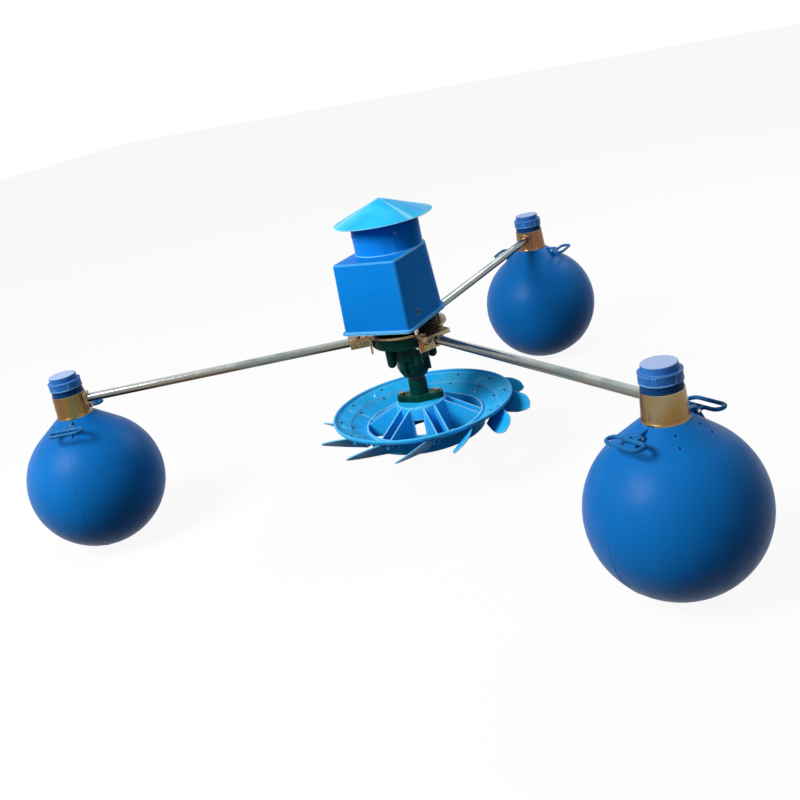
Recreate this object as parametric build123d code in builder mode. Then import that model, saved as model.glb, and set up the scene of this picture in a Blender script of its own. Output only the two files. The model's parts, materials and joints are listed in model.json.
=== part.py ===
from build123d import *
import os
from math import cos, pi, radians, sin, sqrt, tan

os.makedirs("parts", exist_ok=True)

# Frame of the aerator
# The origin is the centre of the impeller's seat on the spin axis. +Z is up and the back arm points along +Y.
ARM_ANGLES = (90, 210, 330)
ARM_REACH = 1000.0
BALL_R = 200.0
ARM_Z = 212.0
BALL_Z = ARM_Z - 254.0
BALL_WALL = 5.0
FOOT_FLAT_R = 28.0
SHOULDER_ANGLE = 38.0
SHOULDER_R = 53.0
TUBE_R = 12.7
TUBE_WALL = 2.0
FIT_GAP = 0.3

# Float neck, collar and cap
NECK_R = 43.0
NECK_BORE_R = 34.0
COLLAR_LOW = BALL_Z + 213.0
COLLAR_HIGH = BALL_Z + 280.0
COLLAR_R = 47.0
COLLAR_BORE_R = 43.2
COLLAR_FLANGE_R = 52.0
COLLAR_PAD_X = 52.0
COLLAR_BOLT_DROP = 23.0
THREAD_R = 44.4
CAP_LOW = BALL_Z + 297.0
SPOUT_R = 38.6
SPOUT_TOP = BALL_Z + 311.0
SEAL_THICK = 3.0
SEAL_R = 38.4
CAP_RING_TOP = BALL_Z + 320.0
CAP_TOP = BALL_Z + 337.0
CAP_RING_R = 47.0
CAP_DRUM_R = 39.0
CAP_BORE_R = 39.0

# Rope handles
LUG_R = 82.0
LUG_Z = BALL_Z + 200.0
LUG_THICK = 14.0
DIMPLE_R = 4.0
HANDLE_PIN_R = 4.0
HANDLE_BORE_R = 4.05
KNUCKLE_R = 7.0
HANDLE_LONG = 104.0
HANDLE_WIDE = 42.0
HANDLE_BAR = 9.0

# Hub plate, brackets and cover
PLATE_LOW = ARM_Z + TUBE_R + FIT_GAP
PLATE_THICK = 6.0
PLATE_TOP = PLATE_LOW + PLATE_THICK
PLATE_R = 118.0
COVER_LOW = 261.0
COVER_SHOULDER = 460.0
TOWER_TOP = 530.0
TOWER_R = 96.0
COVER_HALF = 99.0
COVER_FRONT = 155.0
COVER_DRAFT = 6.0
COVER_WALL = 3.5
SHOULDER_ROUND = 3.0
TAB_THICK = 4.0
TAB_SHIFT = 5.0
LIP_WIDE = 7.0
LIP_THICK = 6.0
HAT_R = 140.0
HAT_BRIM = 548.0
HAT_APEX = 602.0
HAT_SHEET = 2.5
HAT_SCREW_Z = 515.0
STUD_SPOTS = ((-84.2, -90.2), (84.2, -90.2), (-73.5, 73.5), (73.5, 73.5))

# Gear stage, module 2 planetary with a fixed ring
MODULE = 2.0
SUN_TEETH = 9
PLANET_TEETH = 27
RING_TEETH = 63
PLANET_COUNT = 3
GEAR_LOW = 192.0
GEAR_HIGH = 210.0
PLANET_ORBIT = MODULE * (SUN_TEETH + PLANET_TEETH) / 2
PLANET_PIN_R = 6.0
PINION_BORE_R = 5.0
RING_OUTER_R = 74.0

# Output shaft and its bearings
SHAFT_R = 15.0
BEARING_R = 31.0
BEARING_WIDE = 16.0
LOWER_BEARING_LOW = 94.0
FLANGE_LOW = 187.0
FLANGE_HIGH = 219.0
BOSS_ORBIT = 63.0
BOSS_R = 13.0
BOSS_LOW = 116.0
UPPER_BEARING_LOW = 146.0

# Motor
MOTOR_LOW = PLATE_TOP
MOTOR_R = 78.0
MOTOR_FLANGE_R = 96.0
MOTOR_BOLT_ORBIT = 87.0
MOTOR_TOP = 425.0
ROTOR_SHAFT_R = 12.0
ROTOR_R = 44.0
STATOR_BORE_R = 44.6
STATOR_R = 68.0
CORE_LOW = 285.0
CORE_HIGH = 375.0

# Impeller wheel
RIM_R = 267.0
RIM_Z = -14.0
SKIRT_DEEP = 9.0
STEP_R = 221.0
STEP_Z = -38.0
INNER_R = 173.0
INNER_Z = -56.0
DISH_WALL = 4.0
DRUM_R = 74.0
DRUM_WALL = 6.0
DRUM_LOW = -104.0
WALL_DEEP = 44.0
WEB_FOOT = -100.0
PAD_THICK = 12.0
WEB_PAIRS = 6
WEB_PAIR_START = 15.0
WEB_HALF_GAP = 17.0
WEB_THICK = 4.0
WINDOW_WIDE = 30.0
BLADES = 12
BLADE_TIP_R = 316.0
BLADE_TIP_START = 10.0
BLADE_THICK = 4.0
BLADE_TALL = 48.0
BLADE_LEAN = 38.0
BLADE_ROOT_R = 190.0
BLADE_SWEEP = 20.0
BLADE_LOW = -80.0
BLADE_GAP = 0.1
BLADE_SCREWS = ((213.0, -48.6), (246.0, -32.1))
BLADE_SCREW_R = 2.0
SCREW_HEAD_R = 3.4
SCREW_RISE = 2.8
SCREW_BOSS_R = 5.5
BOSS_DEEP = 14.0
OUTER_SLOT_R = 240.0
INNER_SLOT_R = 200.0
FLANGE_BOLT_ORBIT = 53.0
FLANGE_THICK = 20.0
HUB_R = 27.0
HUB_TOP = 66.0


def finish(builder, name):
    """Labels one piece and writes it to its own file."""
    builder.part.label = name
    export_step(builder.part, f"parts/{name}.step")


def polar(radius, angle):
    """Point at a radius and an angle in degrees about the spin axis."""
    return radius * cos(radians(angle)), radius * sin(radians(angle))


def arm_plane(angle, height=0.0, radius=0.0):
    """Plane whose X runs out along an arm and whose Z is up."""
    x, y = polar(radius, angle)
    return Plane(origin=(x, y, height), x_dir=(*polar(1, angle), 0), z_dir=(0, 0, 1))


# Floats
def cone_height(radius):
    """Height of the float's conical shoulder at a radius from the neck's axis."""
    a = radians(SHOULDER_ANGLE)
    return BALL_Z + BALL_R * cos(a) + (BALL_R * sin(a) - radius) * tan(a)


def make_float(number, angle):
    """Hollow ball with a conical shoulder, a threaded neck and two lug fins."""
    a = radians(SHOULDER_ANGLE)
    shoulder_z = BALL_Z + BALL_R * cos(a)
    neck_base = cone_height(SHOULDER_R)
    foot_z = BALL_Z - sqrt(BALL_R**2 - FOOT_FLAT_R**2)
    inner = BALL_R - BALL_WALL
    bore_z = BALL_Z + sqrt(inner**2 - NECK_BORE_R**2)
    centre = arm_plane(angle, 0, ARM_REACH)
    profile = Plane(origin=centre.origin, x_dir=centre.x_dir, z_dir=-centre.y_dir)
    with BuildPart() as ball:
        with BuildSketch(profile):
            with BuildLine():
                foot = Line((0, foot_z), (FOOT_FLAT_R, foot_z))
                round_side = ThreePointArc(
                    foot @ 1, (BALL_R, BALL_Z), (BALL_R * sin(a), shoulder_z))
                cone = Line(round_side @ 1, (SHOULDER_R, neck_base))
                ledge = Line(cone @ 1, (NECK_R, neck_base))
                neck = Line(ledge @ 1, (NECK_R, CAP_LOW - 1))
                step = Line(neck @ 1, (SPOUT_R, CAP_LOW - 1))
                spout = Line(step @ 1, (SPOUT_R, SPOUT_TOP))
                mouth = Line(spout @ 1, (NECK_BORE_R, SPOUT_TOP))
                bore = Line(mouth @ 1, (NECK_BORE_R, bore_z))
                inside = ThreePointArc(bore @ 1, (inner, BALL_Z), (0, BALL_Z - inner))
                Line(inside @ 1, foot @ 0)
            make_face()
        revolve(axis=Axis(centre.origin, (0, 0, 1)))
        for low in (COLLAR_HIGH + 1.5, COLLAR_HIGH + 6.5, COLLAR_HIGH + 11.5):
            with BuildSketch(arm_plane(angle, low, ARM_REACH)):
                Circle(THREAD_R)
                Circle(NECK_R - 1, mode=Mode.SUBTRACT)
            extrude(amount=2.2)
        for side in (1, -1):
            out = Plane(
                origin=centre.origin,
                x_dir=centre.y_dir * side,
                z_dir=centre.x_dir * side,
            )
            with BuildSketch(out.offset(-LUG_THICK / 2)):
                with BuildLine():
                    Polyline(
                        (SHOULDER_R + 3, neck_base - 6),
                        (SHOULDER_R + 3, neck_base - 1),
                        (LUG_R - 6, LUG_Z + 8),
                        (LUG_R + 6, LUG_Z + 7),
                        (LUG_R + 9, LUG_Z),
                        (LUG_R + 24, cone_height(LUG_R + 24)),
                        (LUG_R + 22, cone_height(LUG_R + 22) - 3),
                        close=True,
                    )
                make_face()
                with Locations((LUG_R, LUG_Z)):
                    Circle(HANDLE_PIN_R, mode=Mode.SUBTRACT)
            extrude(amount=LUG_THICK)
        for turn in (30, -30):
            for radius in (70.0, 93.0):
                x, y = polar(radius, angle + turn)
                spot = Plane(
                    origin=(centre.origin.X + x, centre.origin.Y + y, cone_height(radius) + 4),
                    z_dir=(0, 0, 1),
                )
                with BuildSketch(spot):
                    Circle(DIMPLE_R)
                extrude(amount=-8, mode=Mode.SUBTRACT)
    finish(ball, f"float_{number}")


def make_collar(number, angle):
    """Tapered sleeve round a float neck, with a flared foot and a flat pad for the arm tube."""
    centre = arm_plane(angle, 0, ARM_REACH)
    with BuildPart() as collar:
        with BuildSketch(arm_plane(angle, ARM_Z - 34, ARM_REACH)):
            with Locations((-COLLAR_PAD_X + 12, 0)):
                Rectangle(24, 34)
        extrude(amount=34 + TUBE_R + 5)
        with BuildSketch(Plane(origin=centre.origin, x_dir=centre.x_dir, z_dir=-centre.y_dir)):
            with BuildLine():
                Polyline(
                    (COLLAR_BORE_R - 4, COLLAR_LOW),
                    (COLLAR_FLANGE_R, COLLAR_LOW),
                    (COLLAR_FLANGE_R, COLLAR_LOW + 3),
                    (COLLAR_R + 3, COLLAR_LOW + 7),
                    (COLLAR_R, COLLAR_HIGH),
                    (COLLAR_BORE_R - 4, COLLAR_HIGH),
                    close=True,
                )
            make_face()
        revolve(axis=Axis(centre.origin, (0, 0, 1)))
        with BuildSketch(arm_plane(angle, COLLAR_LOW - 1, ARM_REACH)):
            Circle(COLLAR_BORE_R)
        extrude(amount=COLLAR_HIGH - COLLAR_LOW + 2, mode=Mode.SUBTRACT)
        bolt_hole = Plane(
            origin=(*polar(ARM_REACH - COLLAR_PAD_X, angle), ARM_Z - COLLAR_BOLT_DROP),
            z_dir=(*polar(-1, angle), 0),
        )
        with BuildSketch(bolt_hole):
            Circle(3.1)
        extrude(amount=-16, mode=Mode.SUBTRACT)
    finish(collar, f"float_collar_{number}")


def make_cap(number, angle):
    """Screw cap with a ribbed grip ring and a raised top drum."""
    ribs = 6
    with BuildPart() as cap:
        with BuildSketch(arm_plane(angle, CAP_LOW, ARM_REACH)):
            Circle(CAP_RING_R - 1.2)
        extrude(amount=CAP_RING_TOP - CAP_LOW)
        for low in (CAP_LOW, CAP_RING_TOP - 2.5):
            with BuildSketch(arm_plane(angle, low, ARM_REACH)):
                Circle(CAP_RING_R)
            extrude(amount=2.5)
        with BuildSketch(arm_plane(angle, CAP_LOW + 2, ARM_REACH)):
            with PolarLocations(CAP_RING_R - 1.4, ribs):
                Rectangle(2.4, 7)
        extrude(amount=CAP_RING_TOP - CAP_LOW - 4)
        with BuildSketch(arm_plane(angle, CAP_RING_TOP, ARM_REACH)):
            Circle(CAP_DRUM_R)
        extrude(amount=CAP_TOP - CAP_RING_TOP)
        top = cap.edges().filter_by(GeomType.CIRCLE).group_by(Axis.Z)[-1]
        fillet(top, 3)
        with BuildSketch(arm_plane(angle, CAP_LOW - 1, ARM_REACH)):
            Circle(CAP_BORE_R)
        extrude(amount=SPOUT_TOP + SEAL_THICK + 1 - CAP_LOW, mode=Mode.SUBTRACT)
        with BuildSketch(arm_plane(angle, CAP_LOW - 1, ARM_REACH)):
            Circle(CAP_DRUM_R - 5)
        extrude(amount=CAP_TOP - 5 - CAP_LOW, mode=Mode.SUBTRACT)
    finish(cap, f"float_cap_{number}")
    with BuildPart() as seal:
        with BuildSketch(arm_plane(angle, SPOUT_TOP, ARM_REACH)):
            Circle(SEAL_R)
            Circle(NECK_BORE_R - 1, mode=Mode.SUBTRACT)
        extrude(amount=SEAL_THICK)
    finish(seal, f"cap_seal_{number}")


def make_handle(name, float_angle, side):
    """Oblong rope loop with a knuckle that turns on the lug's pin."""
    centre = arm_plane(float_angle, 0, ARM_REACH)
    out_angle = float_angle + 90 * side
    x, y = polar(LUG_R, out_angle)
    pivot = (centre.origin.X + x, centre.origin.Y + y, LUG_Z)
    flat = Plane(origin=pivot, x_dir=(*polar(1, out_angle), 0), z_dir=(0, 0, 1))
    knuckle = Plane(origin=pivot, z_dir=flat.y_dir)
    loop_x = 14 + HANDLE_WIDE / 2
    with BuildPart() as handle:
        with BuildSketch(flat.offset(-HANDLE_BAR / 2)):
            with Locations((loop_x, 0)):
                SlotOverall(HANDLE_LONG, HANDLE_WIDE, rotation=90)
                SlotOverall(
                    HANDLE_LONG - 2 * HANDLE_BAR,
                    HANDLE_WIDE - 2 * HANDLE_BAR,
                    rotation=90,
                    mode=Mode.SUBTRACT,
                )
        extrude(amount=HANDLE_BAR)
        chamfer(handle.edges().filter_by(Plane.XY), 2.7)
        ear_gap = LUG_THICK / 2 + 0.5
        for low in (ear_gap, -ear_gap - 6):
            with BuildSketch(knuckle.offset(low)):
                Circle(KNUCKLE_R)
            extrude(amount=6)
            with BuildSketch(flat.offset(-4)):
                with Locations((9, low + 3)):
                    Rectangle(18, 6)
            extrude(amount=8)
        with BuildSketch(knuckle.offset(-ear_gap - 7)):
            Circle(HANDLE_BORE_R)
        extrude(amount=2 * ear_gap + 14, mode=Mode.SUBTRACT)
    finish(handle, name)


def make_handle_pins():
    """Six plain pins, pressed through the float lugs."""
    with BuildPart() as pins:
        for float_angle in ARM_ANGLES:
            cx, cy = polar(ARM_REACH, float_angle)
            for side in (1, -1):
                x, y = polar(LUG_R, float_angle + 90 * side)
                axis = (*polar(1, float_angle), 0)
                pin_plane = Plane(origin=(cx + x, cy + y, LUG_Z), z_dir=axis)
                with BuildSketch(pin_plane.offset(-LUG_THICK / 2 - 8)):
                    Circle(HANDLE_PIN_R)
                extrude(amount=LUG_THICK + 16)
    finish(pins, "handle_pins")


# Arms and hub
def make_arm(number, angle):
    """Straight tube from the hub bracket to the float collar."""
    start = 114.0
    end = ARM_REACH - COLLAR_PAD_X
    section = Plane(
        origin=(*polar(start, angle), ARM_Z),
        x_dir=(*polar(1, angle + 90), 0),
        z_dir=(*polar(1, angle), 0),
    )
    with BuildPart() as tube:
        with BuildSketch(section):
            Circle(TUBE_R)
            Circle(TUBE_R - TUBE_WALL, mode=Mode.SUBTRACT)
        extrude(amount=end - start)
        cross = Plane(origin=(*polar(140.0, angle), ARM_Z), z_dir=(*polar(1, angle + 90), 0))
        with BuildSketch(cross.offset(-20)):
            Circle(5.1)
        extrude(amount=40, mode=Mode.SUBTRACT)
    finish(tube, f"arm_tube_{number}")


def make_bracket(number, angle):
    """Hat-section saddle that hangs one arm tube under the hub plate, with an end plate."""
    inner = TUBE_R + FIT_GAP
    low = ARM_Z - TUBE_R - FIT_GAP
    section = Plane(
        origin=(*polar(111.0, angle), 0),
        x_dir=(*polar(1, angle + 90), 0),
        z_dir=(*polar(1, angle), 0),
    )
    with BuildPart() as bracket:
        with BuildSketch(section):
            with BuildLine():
                Polyline(
                    (-42, PLATE_LOW),
                    (-inner, PLATE_LOW),
                    (-inner, low),
                    (inner, low),
                    (inner, PLATE_LOW),
                    (42, PLATE_LOW),
                    (42, PLATE_LOW - 5),
                    (inner + 5, PLATE_LOW - 5),
                    (inner + 5, low - 5),
                    (-inner - 5, low - 5),
                    (-inner - 5, PLATE_LOW - 5),
                    (-42, PLATE_LOW - 5),
                    close=True,
                )
            make_face()
        extrude(amount=56)
        with BuildSketch(section):
            with Locations((0, ARM_Z - 13)):
                Rectangle(64, 2 * (PLATE_LOW - ARM_Z + 13))
        extrude(amount=-5)
        cross = Plane(origin=(*polar(140.0, angle), ARM_Z), z_dir=(*polar(1, angle + 90), 0))
        with BuildSketch(cross.offset(-30)):
            Circle(5.1)
        extrude(amount=60, mode=Mode.SUBTRACT)
        with BuildSketch(arm_plane(angle, PLATE_LOW - 6, 140.0)):
            with Locations((0, 31), (0, -31)):
                Circle(4.2)
        extrude(amount=7, mode=Mode.SUBTRACT)
    finish(bracket, f"arm_bracket_{number}")


def make_hub_plate():
    """Round steel plate with three ears, sandwiched between motor and gearbox."""
    with BuildPart() as plate:
        with BuildSketch(Plane.XY.offset(PLATE_LOW)):
            Circle(PLATE_R)
            with PolarLocations(PLATE_R + 12, 3, start_angle=ARM_ANGLES[0]):
                RectangleRounded(80, 88, 12)
            Circle(56, mode=Mode.SUBTRACT)
        extrude(amount=PLATE_THICK)
        with BuildSketch(Plane.XY.offset(PLATE_LOW - 1)):
            with PolarLocations(MOTOR_BOLT_ORBIT, 4, start_angle=45):
                Circle(4.6)
            for angle in ARM_ANGLES:
                for side in (31, -31):
                    x, y = polar(140, angle)
                    dx, dy = polar(side, angle + 90)
                    with Locations((x + dx, y + dy)):
                        Circle(4.2)
        extrude(amount=PLATE_THICK + 2, mode=Mode.SUBTRACT)
    finish(plate, "hub_plate")


def bolt(plane, shank_r, shank_long, head_r, head_tall, nut_at=None):
    """Hexagon bolt with its head on the plane and its shank running down the plane's -Z."""
    with BuildSketch(plane, mode=Mode.PRIVATE) as head:
        RegularPolygon(head_r, 6)
    extrude(head.sketch, amount=head_tall)
    with BuildSketch(plane, mode=Mode.PRIVATE) as shank:
        Circle(shank_r)
    extrude(shank.sketch, amount=-shank_long)
    if nut_at is not None:
        with BuildSketch(plane.offset(-nut_at), mode=Mode.PRIVATE) as nut:
            RegularPolygon(head_r, 6)
        extrude(nut.sketch, amount=-head_tall)


def make_arm_bolts():
    """Cross bolts and foot bolts of the three arm brackets."""
    with BuildPart() as bolts:
        for angle in ARM_ANGLES:
            half = TUBE_R + FIT_GAP + 5
            cross = Plane(
                origin=(*polar(140.0, angle), ARM_Z), z_dir=(*polar(1, angle + 90), 0))
            bolt(cross.offset(half), 5.0, 2 * half + 12, 9.2, 6.5, nut_at=2 * half)
            for side in (31, -31):
                foot = arm_plane(angle, PLATE_TOP, 140.0)
                dx, dy = polar(side, angle + 90)
                foot_plane = Plane(origin=foot.origin + Vector(dx, dy, 0), z_dir=(0, 0, 1))
                bolt(foot_plane, 4.0, 22, 7.5, 5.5, nut_at=11)
    finish(bolts, "arm_bolts")


def make_collar_bolts():
    """One bolt through each collar's pad, below the tube."""
    with BuildPart() as bolts:
        for angle in ARM_ANGLES:
            seat = Plane(
                origin=(*polar(ARM_REACH - COLLAR_PAD_X, angle), ARM_Z - COLLAR_BOLT_DROP),
                z_dir=(*polar(-1, angle), 0),
            )
            bolt(seat, 3.0, COLLAR_PAD_X - COLLAR_BORE_R, 6.5, 4.5)
    finish(bolts, "collar_bolts")


# Motor cover
def cover_outline(grow, back_r, front_r):
    """Plan of the cover: straight front and sides with a round back, grown on every side."""
    half = COVER_HALF + grow
    front = -COVER_FRONT - grow
    turn = half - back_r
    diagonal = cos(radians(45))
    with BuildLine(mode=Mode.PRIVATE) as outline:
        Line((half, turn), (half, front + front_r))
        ThreePointArc(
            (half, front + front_r),
            (half - front_r + front_r * diagonal, front + front_r - front_r * diagonal),
            (half - front_r, front),
        )
        Line((half - front_r, front), (front_r - half, front))
        ThreePointArc(
            (front_r - half, front),
            (front_r - half - front_r * diagonal, front + front_r - front_r * diagonal),
            (-half, front + front_r),
        )
        Line((-half, front + front_r), (-half, turn))
        ThreePointArc(
            (-half, turn), (-turn - back_r * diagonal, turn + back_r * diagonal), (-turn, half))
        Line((-turn, half), (turn, half))
        ThreePointArc((turn, half), (turn + back_r * diagonal, turn + back_r * diagonal), (half, turn))
    make_face(outline.edges())


def make_cover():
    """Moulded cover: drafted box with a bottom lip, and a round tower on its shoulder."""
    with BuildPart() as cover:
        with BuildSketch(Plane.XY.offset(COVER_LOW)):
            cover_outline(COVER_DRAFT, 80.0, 12.0)
        with BuildSketch(Plane.XY.offset(COVER_SHOULDER - SHOULDER_ROUND)):
            cover_outline(0.0, 90.0, 10.0)
        loft(ruled=True)
        with BuildSketch(Plane.XY.offset(COVER_SHOULDER - SHOULDER_ROUND)):
            cover_outline(0.0, 90.0, 10.0)
        with BuildSketch(Plane.XY.offset(COVER_SHOULDER)):
            cover_outline(-SHOULDER_ROUND, 90.0 - SHOULDER_ROUND, 10.0 - SHOULDER_ROUND)
        loft(ruled=True)
        with BuildSketch(Plane.XY.offset(COVER_SHOULDER - 8)):
            Circle(TOWER_R)
        extrude(amount=TOWER_TOP - COVER_SHOULDER + 8)
        with BuildSketch(Plane.XY.offset(COVER_LOW)):
            cover_outline(COVER_DRAFT + LIP_WIDE, 84.0, 16.0)
        extrude(amount=LIP_THICK)
        # The hollow: the same form one wall further in
        with BuildSketch(Plane.XY.offset(COVER_LOW - 1)):
            cover_outline(COVER_DRAFT - COVER_WALL, 80.0 - COVER_WALL, 12.0 - COVER_WALL)
        with BuildSketch(Plane.XY.offset(COVER_SHOULDER - COVER_WALL)):
            cover_outline(-COVER_WALL, 90.0 - COVER_WALL, 10.0 - COVER_WALL)
        loft(ruled=True, mode=Mode.SUBTRACT)
        with BuildSketch(Plane.XY.offset(COVER_SHOULDER - COVER_WALL - 1)):
            Circle(TOWER_R - COVER_WALL)
        extrude(amount=TOWER_TOP - COVER_SHOULDER + COVER_WALL + 2, mode=Mode.SUBTRACT)
        hole = Plane(origin=(COVER_HALF + 20, -93, 297), z_dir=(1, 0, 0))
        with BuildSketch(hole):
            Circle(6.5)
        extrude(amount=-40, mode=Mode.SUBTRACT)
        for angle in (45, 135, 225, 315):
            hole = Plane(
                origin=(*polar(TOWER_R + 5, angle), HAT_SCREW_Z), z_dir=(*polar(1, angle), 0))
            with BuildSketch(hole):
                Circle(2.0)
            extrude(amount=-12, mode=Mode.SUBTRACT)
        # Four inside tabs that stand on the cover studs
        with BuildSketch(Plane.XY.offset(COVER_LOW)):
            for x, y in STUD_SPOTS:
                side = 1 if x > 0 else -1
                depth = 22 if y < 0 else 20
                with Locations((x + side * TAB_SHIFT, y)):
                    Rectangle(26, depth)
        extrude(amount=TAB_THICK)
        with BuildSketch(Plane.XY.offset(COVER_LOW - 1)):
            with Locations(*STUD_SPOTS):
                Circle(3.2)
        extrude(amount=TAB_THICK + 2, mode=Mode.SUBTRACT)
    finish(cover, "motor_cover")


def make_hat():
    """Shallow cone of sheet over the tower, turned down at the brim."""
    with BuildPart() as hat:
        with BuildSketch(Plane.XZ):
            with BuildLine():
                Polyline(
                    (0, HAT_APEX),
                    (HAT_R - 4, HAT_BRIM + 1.5),
                    (HAT_R, HAT_BRIM - 1.5),
                    (HAT_R - 2, HAT_BRIM - 3),
                    (HAT_R - 6, HAT_BRIM),
                    (0, HAT_APEX - HAT_SHEET),
                    close=True,
                )
            make_face()
        revolve(axis=Axis.Z)
    finish(hat, "rain_hat")


def make_hat_brackets():
    """Four bent straps that hold the hat above the tower's open top."""
    slope = (HAT_APEX - HAT_SHEET - HAT_BRIM) / (HAT_R - 6)
    with BuildPart() as straps:
        for angle in (45, 135, 225, 315):
            side = Plane(
                origin=(0, 0, 0), x_dir=(*polar(1, angle), 0), z_dir=(*polar(1, angle - 90), 0))
            inner = TOWER_R - COVER_WALL - 0.8
            top = HAT_APEX - HAT_SHEET - slope * inner - FIT_GAP
            foot = inner - 34
            with BuildSketch(side.offset(-9)):
                with BuildLine():
                    Polyline(
                        (inner, TOWER_TOP - 30),
                        (inner, top),
                        (foot, top + 34 * slope),
                        (foot, top + 34 * slope - 3),
                        (inner - 2.5, top - 3),
                        (inner - 2.5, TOWER_TOP - 30),
                        close=True,
                    )
                make_face()
            extrude(amount=18)
            hole = Plane(
                origin=(*polar(TOWER_R, angle), HAT_SCREW_Z), z_dir=(*polar(1, angle), 0))
            with BuildSketch(hole):
                Circle(2.0)
            extrude(amount=-12, mode=Mode.SUBTRACT)
    finish(straps, "hat_brackets")


def make_hat_screws():
    """Small screws from the tower wall into the hat straps."""
    with BuildPart() as screws:
        for angle in (45, 135, 225, 315):
            seat = Plane(
                origin=(*polar(TOWER_R, angle), HAT_SCREW_Z), z_dir=(*polar(1, angle), 0))
            with BuildSketch(seat):
                Circle(4.5)
            extrude(amount=2.5)
            with BuildSketch(seat):
                Circle(2.0)
            extrude(amount=-COVER_WALL - 4)
    finish(screws, "hat_screws")


def make_cover_studs():
    """Four spacers with screws that carry the cover above the hub plate."""
    with BuildPart() as studs:
        for x, y in STUD_SPOTS:
            spot = Plane(origin=(x, y, PLATE_TOP), z_dir=(0, 0, 1))
            with BuildSketch(spot):
                RegularPolygon(6.5, 6)
            extrude(amount=COVER_LOW - PLATE_TOP)
            with BuildSketch(spot):
                Circle(3.0)
            extrude(amount=COVER_LOW - PLATE_TOP + 10)
            with BuildSketch(spot.offset(COVER_LOW + 4 - PLATE_TOP)):
                Circle(5.5)
            extrude(amount=3.5)
    finish(studs, "cover_studs")


# Motor
def make_motor():
    """Finned frame with a mounting flange, end shield, stator, windings and bearings."""
    with BuildPart() as frame:
        with BuildSketch(Plane.XY.offset(MOTOR_LOW)):
            Circle(MOTOR_FLANGE_R)
        extrude(amount=12)
        with BuildSketch(Plane.XY.offset(MOTOR_LOW)):
            Circle(MOTOR_R - 5)
            with PolarLocations(MOTOR_R - 4, 24):
                Rectangle(9, 3)
        extrude(amount=MOTOR_TOP - 25 - MOTOR_LOW)
        with BuildSketch(Plane.XY.offset(MOTOR_LOW + 22)):
            Circle(STATOR_R)
        extrude(amount=MOTOR_TOP - MOTOR_LOW, mode=Mode.SUBTRACT)
        with BuildSketch(Plane.XY.offset(MOTOR_LOW - 1)):
            Circle(26)
        extrude(amount=40, mode=Mode.SUBTRACT)
        with BuildSketch(Plane.XY.offset(MOTOR_LOW - 1)):
            with PolarLocations(MOTOR_BOLT_ORBIT, 4, start_angle=45):
                Circle(4.6)
        extrude(amount=14, mode=Mode.SUBTRACT)
    finish(frame, "motor_frame")
    with BuildPart() as shield:
        with BuildSketch(Plane.XY.offset(MOTOR_TOP - 25)):
            Circle(MOTOR_R - 3)
        extrude(amount=8)
        with BuildSketch(Plane.XY.offset(MOTOR_TOP - 34)):
            Circle(STATOR_R - 0.1)
        extrude(amount=9)
        with BuildSketch(Plane.XY.offset(MOTOR_TOP - 38)):
            Circle(26)
        extrude(amount=15, mode=Mode.SUBTRACT)
        with BuildSketch(Plane.XY.offset(MOTOR_TOP - 38)):
            Circle(ROTOR_SHAFT_R + 1)
        extrude(amount=30, mode=Mode.SUBTRACT)
    finish(shield, "motor_end_shield")
    with BuildPart() as core:
        with BuildSketch(Plane.XY.offset(CORE_LOW)):
            Circle(STATOR_R)
            Circle(STATOR_BORE_R, mode=Mode.SUBTRACT)
            with PolarLocations(STATOR_BORE_R + 8, 12):
                Rectangle(14, 7, mode=Mode.SUBTRACT)
        extrude(amount=CORE_HIGH - CORE_LOW)
    finish(core, "stator_core")
    with BuildPart() as coils:
        for low in (CORE_LOW - 14, CORE_HIGH):
            with BuildSketch(Plane.XY.offset(low)):
                Circle(STATOR_BORE_R + 16)
                Circle(STATOR_BORE_R + 2, mode=Mode.SUBTRACT)
            extrude(amount=14)
        with BuildSketch(Plane.XY.offset(CORE_LOW)):
            with PolarLocations(STATOR_BORE_R + 8, 12):
                Rectangle(10, 6)
        extrude(amount=CORE_HIGH - CORE_LOW)
    finish(coils, "stator_windings")
    with BuildPart() as box:
        with BuildSketch(Plane.XY.offset(320)):
            with Locations((0, -MOTOR_R - 31.5)):
                RectangleRounded(88, 62, 8)
        extrude(amount=66)
        fillet(box.edges().group_by(Axis.Z)[-1], 3)
    finish(box, "terminal_box")
    with BuildPart() as bolts:
        for angle in (45, 135, 225, 315):
            head = Plane(
                origin=(*polar(MOTOR_BOLT_ORBIT, angle), MOTOR_LOW + 12), z_dir=(0, 0, 1))
            bolt(head, 4.5, 66, 8.0, 6.0, nut_at=MOTOR_LOW + 12 - FLANGE_LOW)
    finish(bolts, "motor_bolts")


def ring_solid(inner, outer, low, tall):
    """Adds one plain ring on the spin axis to the open part."""
    with BuildSketch(Plane.XY.offset(low), mode=Mode.PRIVATE) as ring:
        Circle(outer)
        Circle(inner, mode=Mode.SUBTRACT)
    extrude(ring.sketch, amount=tall)


def make_bearings():
    """Ball bearings as closed rings, two on each shaft, and the lip seal."""
    with BuildPart() as motor_bearings:
        ring_solid(ROTOR_SHAFT_R, 26, MOTOR_LOW + 6, 15)
        ring_solid(ROTOR_SHAFT_R, 26, MOTOR_TOP - 37, 14)
    finish(motor_bearings, "motor_bearings")
    with BuildPart() as output_bearings:
        ring_solid(SHAFT_R + 0.02, BEARING_R, LOWER_BEARING_LOW, BEARING_WIDE)
        ring_solid(SHAFT_R + 0.02, BEARING_R, UPPER_BEARING_LOW, BEARING_WIDE)
    finish(output_bearings, "output_bearings")
    with BuildPart() as seal:
        ring_solid(SHAFT_R + 0.05, 26, 80, 10)
    finish(seal, "shaft_seal")


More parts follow.
